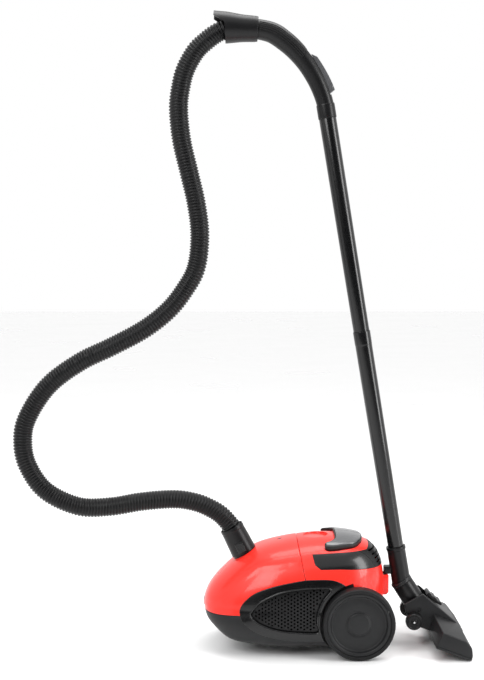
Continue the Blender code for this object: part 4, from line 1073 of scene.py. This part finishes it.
def lofted(loops):
    """A closed bmesh through loops of points."""
    form = bmesh.new()
    rings = [[form.verts.new(p) for p in loop] for loop in loops]
    count = len(loops[0])
    for lower, upper in zip(rings, rings[1:]):
        for i in range(count):
            j = (i + 1) % count
            form.faces.new((lower[i], lower[j], upper[j], upper[i]))
    form.faces.new(rings[0])
    form.faces.new(rings[-1])
    bmesh.ops.recalc_face_normals(form, faces=form.faces)
    return form


def slab(outline, low, high, matrix=None, bevel=0.0008):
    """An x, z outline carried from y low to y high, with its edges rounded."""
    form = lofted([[(x, y, z) for x, z in outline] for y in (low, high)])
    if bevel:
        bevelled(form, [e for e in form.edges if e.calc_face_angle(0) > math.radians(20)], bevel)
    bmesh.ops.transform(form, matrix=matrix or Matrix(), verts=form.verts)
    return finished(form, "slab")


def carved(name, base, unions=(), cuts=(), solver="EXACT"):
    """The base mesh with others joined to it and cut from it."""
    held = placed(name, base)
    helpers = []
    for kind, meshes in (("UNION", unions), ("DIFFERENCE", cuts)):
        for mesh in meshes:
            helpers.append(placed("helper", mesh))
            modifier = held.modifiers.new("boolean", "BOOLEAN")
            modifier.operation, modifier.object, modifier.solver = kind, helpers[-1], solver
    graph = bpy.context.evaluated_depsgraph_get()
    made = bpy.data.meshes.new_from_object(held.evaluated_get(graph))
    made.name = name
    for leftover in (held, *helpers):
        bpy.data.objects.remove(leftover)
    return made


def thumb_dish():
    """A shallow cup in the rear housing, as rings: upper rim, cup floor, underside, lower rim."""
    centre, count = Vector(DISH), 64
    rim = [Vector((DISH[0] + DISH_RADIUS * c, DISH_RADIUS * s, DISH[2])) for c, s in compass(count)]
    rings = []
    for grow, drop, level_z in (
        (0.0, 0.0006, 0), (-0.0012, 0, 0.2275), (0.0, 0, 0.225), (0.0012, 0.0032, 0),
    ):
        around = [centre + (p - centre) * (1 + grow / DISH_RADIUS) for p in rim]
        if not level_z:
            around = [Vector((p.x, p.y, max(p.z - drop, 0.2262))) for p in cast(around, DOWN)]
        rings.append([Vector((p.x, p.y, level_z or p.z)) for p in around])
    faces = [tuple(range(count, 2 * count)), tuple(range(3 * count - 1, 2 * count - 1, -1))]
    for a, b in ((0, 1), (2, 3), (3, 0)):
        low, high = a * count, b * count
        for k in range(count):
            n = (k + 1) % count
            faces.append((low + k, low + n, high + n, high + k))
    form = bmesh.new()
    form.from_mesh(mesh_of("thumb_dish", [p for ring in rings for p in ring], faces))
    bmesh.ops.recalc_face_normals(form, faces=form.faces)
    piece("thumb_dish", finished(form, "thumb_dish"), RED, "canister", "rear_housing")


def wheel_well(side, word):
    """The flat floor behind a wheel, the fence round it, and the wheel's stub."""
    arc = wheel_side(-210.0, 150.0, side, steps=400)
    start = max(range(len(arc)), key=lambda i: (arc[i] - arc[i - 1]).length)
    arc = arc[start:] + arc[:start]
    inner = level(WELL_Y - 0.0001, angle_at(arc[-1]), angle_at(arc[0]), side, 40)
    arc, outline = arc[::3], [(p.x, p.z) for p in arc[::3] + inner[1:-1]]
    floor = slab(outline, *sorted((side * (WELL_Y - 0.0022), side * (WELL_Y - 0.0002))), bevel=0)
    fence = []
    for grow, sink in ((0.0001, 0.0004), (0.002, 0.003)):
        share = 1 + grow / WELL_RADIUS
        fence.append([Vector((WHEEL.x + (p.x - WHEEL.x) * share, p.y - side * sink,
                              WHEEL.z + (p.z - WHEEL.z) * share)) for p in arc])
    count = len(arc)
    points = fence[0] + fence[1]
    points += [Vector((p.x, side * (WELL_Y - 0.001), p.z)) for p in points]
    faces = []
    for a, b in ((0, 1), (1, 3), (3, 2), (2, 0)):
        low, high = a * count, b * count
        faces += [(low + k, low + k + 1, high + k + 1, high + k) for k in range(count - 1)]
    faces.append((0, count, 3 * count, 2 * count))
    faces.append(tuple(n + count - 1 for n in (0, 2 * count, 3 * count, count)))
    stub = rod(0.009, 0.0, 0.0188, (WHEEL.x, side * WELL_Y, WHEEL.z), (0, side, 0))
    made = joined("well", floor, mesh_of("wall", points, faces), stub)
    piece(f"{word}_wheel_well", made, DARK, "canister", "lower_chassis")


def canister_details():
    slot = block((0.1062, -0.0125, 0.118), (0.1116, 0.0125, 0.156), bevel=0)
    bracket = slab([(0.095, 0.105), (0.095, 0.147), (0.1162, 0.147), (0.1162, 0.11), (0.111, 0.105)],
                   -0.018, 0.018, bevel=0.0018)
    piece("parking_bracket", carved("parking_bracket", bracket, cuts=[slot]), RED, "canister",
          "rear_housing")
    thumb_dish()
    pocket = [(0.03, 0.0152), (0.03, 0.038), (0.0, 0.038), (0.0, 0.0405), (0.0325, 0.0405),
              (0.0325, 0.0152)]
    turned("castor_pocket", pocket, CASTOR, UP, DARK, "canister", "lower_chassis")
    plate = block((-0.085, -0.035, 0.011), (-0.015, 0.035, 0.0142))
    piece("foot_plate", plate, DARK, "canister", "lower_chassis")
    for side, word in SIDES:
        wheel_well(side, word)


SLEEVE_LEFT = Vector((-0.2525, 0.0, 1.2862))
SLEEVE_RIGHT = Vector((-0.1608, 0.0, 1.282))
WAND_TOP = Vector((-0.0172, 0.0, 1.101))
WAND_BOTTOM = Vector((0.1322, 0.0, 0.2054))
WAND_AXIS = (WAND_BOTTOM - WAND_TOP).normalized()
WAND_LENGTH = (WAND_BOTTOM - WAND_TOP).length
TUBE_JOINT = 0.445  # distance down the wand from its top to the joint between its tubes
NECK_LENGTH = 0.0762
SWIVEL = WAND_TOP + WAND_AXIS * (WAND_LENGTH + NECK_LENGTH)
SWIVEL_AXIS = Vector((math.sin(math.radians(33.0)), 0.0, -math.cos(math.radians(33.0))))
PIVOT_DROP = 0.062
HEAD_PIVOT = SWIVEL + SWIVEL_AXIS * PIVOT_DROP
HEAD_TILT = math.radians(20.0)
HEAD_FRAME = Matrix.Translation((0.2725, 0.0, 0.0003)) @ Matrix.Rotation(HEAD_TILT, 4, "Y")
HEAD_AXLE = HEAD_FRAME @ Vector((-0.1194, 0.0, 0.0167))
BARREL_RADIUS = 0.023
GRIP_ARC = Vector((-0.2994, 0.0, 1.0372))  # centre of the handle's long curve
HANDLE_ROUTE = [  # x, z, radius
    (-0.176, 1.2827, 0.0202), (-0.156, 1.281, 0.0207), (-0.13, 1.274, 0.0213), (-0.107, 1.259, 0.0208),
    (-0.085, 1.24, 0.0199), (-0.062, 1.2134, 0.0192), (-0.0435, 1.184, 0.0186), (-0.031, 1.157, 0.018),
    (-0.0225, 1.131, 0.0175),
]


def wheels():
    rim = [
        (0.0655, 0.025), (0.0655, 0.002), (0.06, 0.002), (0.06, 0.012), (0.016, 0.012), (0.016, 0.0005),
        (0.0094, 0.0005), (0.0094, 0.0185), (0.025, 0.0185, 0.001), (0.0262, 0.0176, 0.0008),
        (0.0278, 0.0182, 0.001), (0.042, 0.018, 0.004), (0.056, 0.0165, 0.003), (0.0585, 0.024, 0.0012),
        (0.06, 0.0252, 0.001), (0.0625, 0.0254, 0.001),
    ]
    tyre = [
        (0.0662, 0.0274, 0.0004), (0.069, 0.0286, 0.001), (0.0715, 0.0284, 0.0012),
        (0.0733, 0.0266, 0.0012), (0.074, 0.0235), (0.074, 0.005), (0.0725, 0.0015), (0.07, 0.0005),
        (0.0658, 0.0012), (0.0658, 0.0268),
    ]
    cap = [
        (0.0, 0.0226), (0.012, 0.0224, 0.004), (0.02, 0.0221, 0.0015), (0.0235, 0.0203, 0.001),
        (0.0235, 0.0188), (0.0, 0.0188),
    ]
    roller = [
        (0.016, 0.054), (0.0173, 0.052), (0.0173, 0.041), (0.016, 0.0395), (0.006, 0.04),
        (0.0024, 0.04), (0.0024, 0.0535), (0.005, 0.054), (0.006, 0.0522, 0.001),
        (0.0125, 0.0522, 0.001), (0.014, 0.0538),
    ]
    for side, word in SIDES:
        place, out = Vector((WHEEL.x, side * 0.1012, WHEEL.z)), (0, side, 0)
        body, small = f"{word}_wheel", f"head_{word}_wheel"
        turned(f"{word}_rim", rim, place, out, DARK, body, body, steps=128)
        turned(f"{word}_tread", tyre, place, out, RUBBER, body, f"{word}_tyre", steps=144)
        turned(f"{word}_cap", cap, place, out, DARK, body, f"{word}_hub_cap", steps=96)
        turned(f"head_{word}_roller", roller, HEAD_AXLE, out, SATIN, small, small)


def castor():
    pin = [(0.0, 0.0268), (0.0298, 0.0268), (0.03, 0.035), (0.004, 0.035), (0.004, 0.044), (0.0, 0.044)]
    axle = Vector((-0.157, 0.0, 0.0125))
    cheek = [(-0.007, 0.009), (-0.004, 0.0075), (0.004, 0.0075), (0.007, 0.009), (0.007, 0.031),
             (-0.007, 0.031)]
    cheek = [(axle.x + x, z) for x, z in cheek]
    cheeks = [slab(cheek, *sorted((side * 0.011, side * 0.0145)), bevel=0.0006) for side, _ in SIDES]
    room = rod(0.014, -0.0107, 0.0107, axle, ACROSS)
    hole = rod(0.0023, -0.02, 0.02, axle, ACROSS, 24)
    disc = turned_mesh("disc", pin, CASTOR, UP)
    piece("castor_yoke", carved("castor_yoke", disc, cheeks, [room, hole]), DARK, "castor_fork",
          "castor_fork")
    tread = [
        (0.0112, 0.0102, 0.001), (0.0125, 0.0085, 0.001), (0.0125, -0.0085, 0.001),
        (0.0112, -0.0102, 0.001), (0.0024, -0.0102), (0.0024, 0.0102),
    ]
    turned("castor_roller", tread, axle, ACROSS, RUBBER, "castor_wheel", "castor_wheel", radius=0.0004)


def quarter_block(x, near, far, low, high, side, matrix, bevel=0):
    """A block that lies to one side, from near to far of the middle plane."""
    near, far = sorted((side * near, side * far))
    return block((-x, near, low), (x, far, high), matrix, bevel)


def cuff():
    collar = [
        (0.024, 0.0028), (0.024, -0.009), (0.0295, -0.009), (0.0295, -0.0115), (0.0204, -0.014),
        (0.0204, 0.0028),
    ]
    turned("inlet_ring", collar, INLET, INLET_AXIS, SATIN, "lid", "inlet_collar", steps=96)
    profile = [
        (0.0249, 0.0627, 0.0006), (0.0254, 0.056, 0.001), (0.0248, 0.0545, 0.0005),
        (0.0258, 0.033, 0.001), (0.0264, 0.013, 0.002), (0.027, 0.004, 0.0008),
        (0.0262, 0.0034, 0.0004), (0.02, 0.0034), (0.02, -0.012), (0.0165, -0.012), (0.0165, 0.034),
        (0.0208, 0.0345), (0.0208, 0.046), (0.0232, 0.0627, 0.0005),
    ]
    inlet = on_axis(INLET, INLET_AXIS)
    way = inlet.to_3x3().inverted() @ Vector(ACROSS)
    place = inlet @ Matrix.Rotation(math.atan2(way.y, way.x) - math.pi / 2, 4, "Z")
    pockets, tabs = [], {}
    for side, word in SIDES:
        pockets.append(quarter_block(0.0094, 0.0206, 0.03, 0.0076, 0.0304, side, place))
        grooves = [quarter_block(0.007, 0.0266, 0.03, z, z + 0.001, side, place)
                   for z in (0.012, 0.015, 0.018, 0.021, 0.024)]
        tab = quarter_block(0.009, 0.0236, 0.0272, 0.008, 0.03, side, place, 0.0007)
        tabs[word] = carved("tab", tab, cuts=grooves)
    body = turned_mesh("cuff", profile, INLET, INLET_AXIS, steps=96)
    piece("cuff_body", carved("cuff_body", body, cuts=pockets), SATIN, "hose_cuff", "hose_cuff")
    for word, mesh in tabs.items():
        piece(f"{word}_tab", mesh, BLACK, f"{word}_tab", f"{word}_release_tab")


def sector(inner, outer, low, high, taper=0.0, count=24):
    """The x, z outline of a stretch of the handle's curve; its outer side is shorter at each end."""
    corners = []
    for radius, first, last in ((outer, high - taper, low + taper), (inner, low, high)):
        for angle in np.radians(np.linspace(first, last, count)):
            corners.append((GRIP_ARC.x + radius * math.cos(angle), GRIP_ARC.z + radius * math.sin(angle)))
    return corners


def grip_ribs(route, radii):
    """Fine lengthwise ribs on both flanks of the handle."""
    ribs = []
    for turn in np.radians(range(50, 95, 11)):
        for side, _ in SIDES:
            line = []
            for at in range(6, 44):
                tangent = (route[at + 1] - route[at - 1]).normalized()
                out = Vector((-tangent.z, 0.0, tangent.x)) * math.cos(turn)
                out += Vector((0, side, 0)) * math.sin(turn)
                line.append(route[at] + out * (radii[at] - 0.0002))
            ribs.append(swept_mesh("grip_rib", line, [0.001] * len(line), sides=8))
    piece("handle_grip_ribs", joined("handle_grip_ribs", *ribs), SATIN, "wand")


def handle():
    along, length = (SLEEVE_RIGHT - SLEEVE_LEFT).normalized(), (SLEEVE_RIGHT - SLEEVE_LEFT).length
    sleeve = turned_mesh("sleeve", [
        (0.0252, length, 0.001), (0.0262, length - 0.006, 0.001), (0.0275, 0.06, 0.008),
        (0.032, 0.028, 0.008), (0.033, 0.0, 0.0006), (0.03, 0.0), (0.029, 0.02), (0.0214, 0.05),
        (0.0214, length, 0.0004),
    ], SLEEVE_LEFT, along, steps=96)
    mouth = slab([(-0.3, 1.2), (-0.3, 1.3), (-0.2525, 1.3065), (-0.229, 1.292), (-0.225, 1.2)],
                 -0.05, 0.05, bevel=0)
    piece("sleeve_shell", carved("sleeve_shell", sleeve, cuts=[mouth]), SATIN, "wand", "hose_sleeve")
    count = 90
    route = smooth_route([(x, 0.0, z) for x, z, _ in HANDLE_ROUTE] + [WAND_TOP - WAND_AXIS * 0.0003], count)
    radii = [radius for _, _, radius in HANDLE_ROUTE] + [0.0178]
    radii = list(np.interp(np.linspace(0, 1, count), np.linspace(0, 1, len(radii)), radii))
    grip = swept_mesh("grip", route, radii, sides=64)
    collar = turned_mesh("collar", [
        (0.0, -0.03), (0.0184, -0.03), (0.019, -0.028, 0.0008), (0.019, -0.0012, 0.0006),
        (0.0184, -0.0003, 0.0004), (0.0, -0.0003),
    ], WAND_TOP, WAND_AXIS)
    rooms = [  # for the slider: its bed, its foot and its heel
        slab(sector(0.314, 0.33, 21.3, 41.5), -0.01, 0.01, bevel=0),
        slab(sector(0.3068, 0.316, 21.3, 33.5), -0.0099, 0.0099, bevel=0),
        slab(sector(0.3098, 0.3162, 27.0, 40.4), -0.0098, 0.0098, bevel=0),
    ]
    piece("handle_grip", carved("handle_grip", grip, [collar], rooms), SATIN, "wand", "bent_handle")
    grip_ribs(route, radii)
    slider = slab(sector(0.3145, 0.3208, 22.0, 38.0, 2.0), -0.009, 0.009, bevel=0.0012)
    foot = slab(sector(0.3075, 0.3206, 21.6, 30.0, 0.7), -0.0088, 0.0088, bevel=0.001)
    heel = slab(sector(0.3105, 0.3204, 27.0, 37.4, 1.6), -0.0087, 0.0087, bevel=0.001)
    grooves = [slab(sector(0.3198, 0.323, a, a + 0.35), -0.007, 0.007, bevel=0) for a in range(25, 31)]
    slider = carved("slider_button", slider, [foot, heel], grooves)
    piece("slider_button", slider, GREY, "bleed_slider", "bleed_slider")


def wand():
    turned("upper_wand", [
        (0.016, TUBE_JOINT + 0.03), (0.0162, TUBE_JOINT), (0.0168, TUBE_JOINT - 0.0004, 0.0004),
        (0.0179, 0.0), (0.0161, 0.0), (0.0161, 0.036), (0.0145, 0.04), (0.0145, TUBE_JOINT + 0.03),
    ], WAND_TOP, WAND_AXIS, BLACK, "wand", "upper_tube", steps=96)
    turned("lower_wand", [
        (0.016, WAND_LENGTH + 0.035), (0.0162, WAND_LENGTH - 0.0003), (0.0166, WAND_LENGTH - 0.0006),
        (0.0176, TUBE_JOINT + 0.03, 0.003), (0.018, TUBE_JOINT + 0.027, 0.001),
        (0.0181, TUBE_JOINT, 0.0007), (0.0165, TUBE_JOINT), (0.0165, TUBE_JOINT + 0.037),
        (0.0145, TUBE_JOINT + 0.041), (0.0145, WAND_LENGTH + 0.035),
    ], WAND_TOP, WAND_AXIS, BLACK, "wand", "lower_tube", steps=96)


def neck():
    end = WAND_LENGTH + NECK_LENGTH
    socket = turned_mesh("socket", [
        (0.02, end + 0.02), (0.01935, WAND_LENGTH + 0.0075, 0.0006),
        (0.0207, WAND_LENGTH + 0.0065, 0.0006), (0.0207, WAND_LENGTH, 0.0005),
        (0.0168, WAND_LENGTH, 0.0002), (0.0168, WAND_LENGTH + 0.037), (0.0148, WAND_LENGTH + 0.041),
        (0.0148, end + 0.02),
    ], WAND_TOP, WAND_AXIS, steps=96)
    hook = slab([
        (0.1075, 0.163), (0.1075, 0.121), (0.1105, 0.121), (0.1105, 0.1476), (0.1225, 0.1476),
        (0.1225, 0.163),
    ], -0.01, 0.01, bevel=0.0009)
    below = rod(0.06, -0.0043, 0.08, SWIVEL, SWIVEL_AXIS, 48, 0)
    bore = rod(0.0146, -0.11, 0.05, SWIVEL, -WAND_AXIS, 72, 0)
    piece("socket_shell", carved("socket_shell", socket, [hook], [below, bore]), SATIN, "wand",
          "neck_socket")
    turned("swivel_band", [
        (0.0215, 0.004, 0.0004), (0.0227, 0.0028, 0.0008), (0.0227, -0.0028, 0.0008),
        (0.0215, -0.004, 0.0004), (0.0161, -0.004), (0.0161, 0.004),
    ], SWIVEL, SWIVEL_AXIS, DARK, "wand", "swivel_ring", steps=96)
    elbow = turned_mesh("elbow", [
        (BARREL_RADIUS, PIVOT_DROP), (BARREL_RADIUS, 0.032, 0.008), (0.0222, 0.0043, 0.0006),
        (0.0158, 0.0043), (0.0158, -0.003), (0.014, -0.003), (0.014, 0.045), (0.0, 0.045),
        (0.0, PIVOT_DROP),
    ], SWIVEL, SWIVEL_AXIS, steps=96)
    barrel = turned_mesh("barrel", [
        (0.0, -0.03), (BARREL_RADIUS, -0.03, 0.001), (BARREL_RADIUS, 0.03, 0.001), (0.0, 0.03),
    ], HEAD_PIVOT, ACROSS, steps=96)
    pins = rod(0.004, -0.0355, 0.0355, HEAD_PIVOT, ACROSS, 32)
    piece("elbow_shell", carved("elbow_shell", elbow, [barrel, pins]), SATIN, "elbow", "neck_elbow")


def deck(inset, bevel):
    """The head's wide deck, raised towards the hump in the middle."""
    section = [
        (-0.078 + inset, 0.0063 - inset * 2), (-0.0755 + inset, 0.0362 - inset),
        (-0.024 - inset * 0.6, 0.035 - inset), (-0.0085 - inset, 0.0255 - inset),
        (-0.001 - inset, 0.01), (-0.001 - inset, 0.0063 - inset * 2),
    ]
    rises = [(0.0, 0.0), (-0.008, 0.0062), (0.0, 0.0062)] + [(0.0, 0.0)] * 3
    stations = [(-0.131 + inset, 0.0), (-0.036, 1.0), (0.036, 1.0), (0.131 - inset, 0.0)]
    form = lofted([[(x + dx * rise, y, z + dz * rise) for (x, z), (dx, dz) in zip(section, rises)]
                   for y, rise in stations])
    if bevel:
        edges = [e for e in form.edges if e.calc_face_angle(0) > math.radians(12)
                 and (e.verts[0].co.z + e.verts[1].co.z) / 2 > 0.0075]
        bevelled(form, edges, bevel, segments=4)
    bmesh.ops.transform(form, matrix=HEAD_FRAME, verts=form.verts)
    return finished(form, "deck")


def floor_head():
    hump = [
        (-0.136, 0.022), (-0.1488, 0.041), (-0.1189, 0.0753), (-0.0346, 0.0441), (-0.012, 0.031),
        (-0.012, 0.0063), (-0.124, 0.0063),
    ]
    inner = [
        (-0.16, 0.0095), (-0.16, 0.08), (-0.1189, 0.0723), (-0.0346, 0.0411), (-0.015, 0.0285),
        (-0.015, 0.0), (-0.073, 0.0), (-0.073, 0.0095),
    ]
    cuts = [deck(0.005, 0), slab(inner, -0.0308, 0.0308, HEAD_FRAME, bevel=0),
            rod(0.0236, -0.0308, 0.0308, HEAD_PIVOT, ACROSS, 64, 0)]
    for lean in (-22, -11, 0, 11, 22):
        sweep = on_axis(HEAD_PIVOT, Matrix.Rotation(math.radians(lean), 3, "Y") @ -SWIVEL_AXIS)
        quarter = sweep.to_3x3().inverted() @ Vector(ACROSS)
        low = (-0.0238, -0.0308, 0.0) if abs(quarter.y) > 0.5 else (-0.0308, -0.0238, 0.0)
        cuts.append(block(low, (-low[0], -low[1], 0.09), sweep, bevel=0))
    cuts += [rod(radius, -0.05, 0.05, place, ACROSS, 32, 0)
             for radius, place in ((0.0043, HEAD_PIVOT), (0.0023, HEAD_AXLE))]
    hump = slab(hump, -0.036, 0.036, HEAD_FRAME, bevel=0.0022)
    shell = carved("head_cover", deck(0.0, 0.003), [hump], cuts, solver="MANIFOLD")
    piece("head_cover", shell, DARK, "floor_head", "head_shell", smooth=30)
    sole = block((-0.0775, -0.13, 0.0), (-0.001, 0.13, 0.006), HEAD_FRAME, bevel=0.0009)
    slots = [block((back, -half, -0.01), (front, half, 0.02), HEAD_FRAME, bevel=0)
             for back, front, half in ((-0.052, -0.03, 0.112), (-0.068, -0.062, 0.1155))]
    piece("head_sole_plate", carved("sole", sole, cuts=slots), DARK, "floor_head", "head_sole")
    slope = math.atan2(0.0753 - 0.0441, 0.1189 - 0.0346)
    place = Matrix.Translation(HEAD_FRAME @ Vector((-0.089, 0.0, 0.0668)))
    place = place @ Matrix.Rotation(HEAD_TILT + slope, 4, "Y")
    outline = [
        (-0.019, 0.0044), (-0.0165, 0.006), (-0.012, 0.006), (-0.0105, 0.0046), (-0.0045, 0.0046),
        (-0.003, 0.006), (0.003, 0.006), (0.0045, 0.0046), (0.0105, 0.0046), (0.012, 0.006),
        (0.0165, 0.006), (0.019, 0.0044), (0.019, 0.001), (0.003, -0.0018), (-0.019, -0.0018),
    ]
    piece("head_pedal_cap", slab(outline, -0.019, 0.019, place, bevel=0.0005), SATIN, "head_pedal",
          "head_pedal")


# ---- the whole scene ----------------------------------------------------------------------
def cad_materials():
    """Every carried-over CAD node gets the procedural material of its own slot."""
    for made in bpy.context.scene.objects:
        if made.type != "MESH":
            continue
        for slot in made.material_slots:
            base = slot.material.name.split(".")[0] if slot.material else ""
            if base in SLOTS:
                slot.material = SLOTS[base]


for make in (
    cad_materials, hose, shells, side_vents, band, console, latch, canister_details, wheels, castor, cuff,
    handle, wand, neck, floor_head, surroundings, camera,
):
    make()
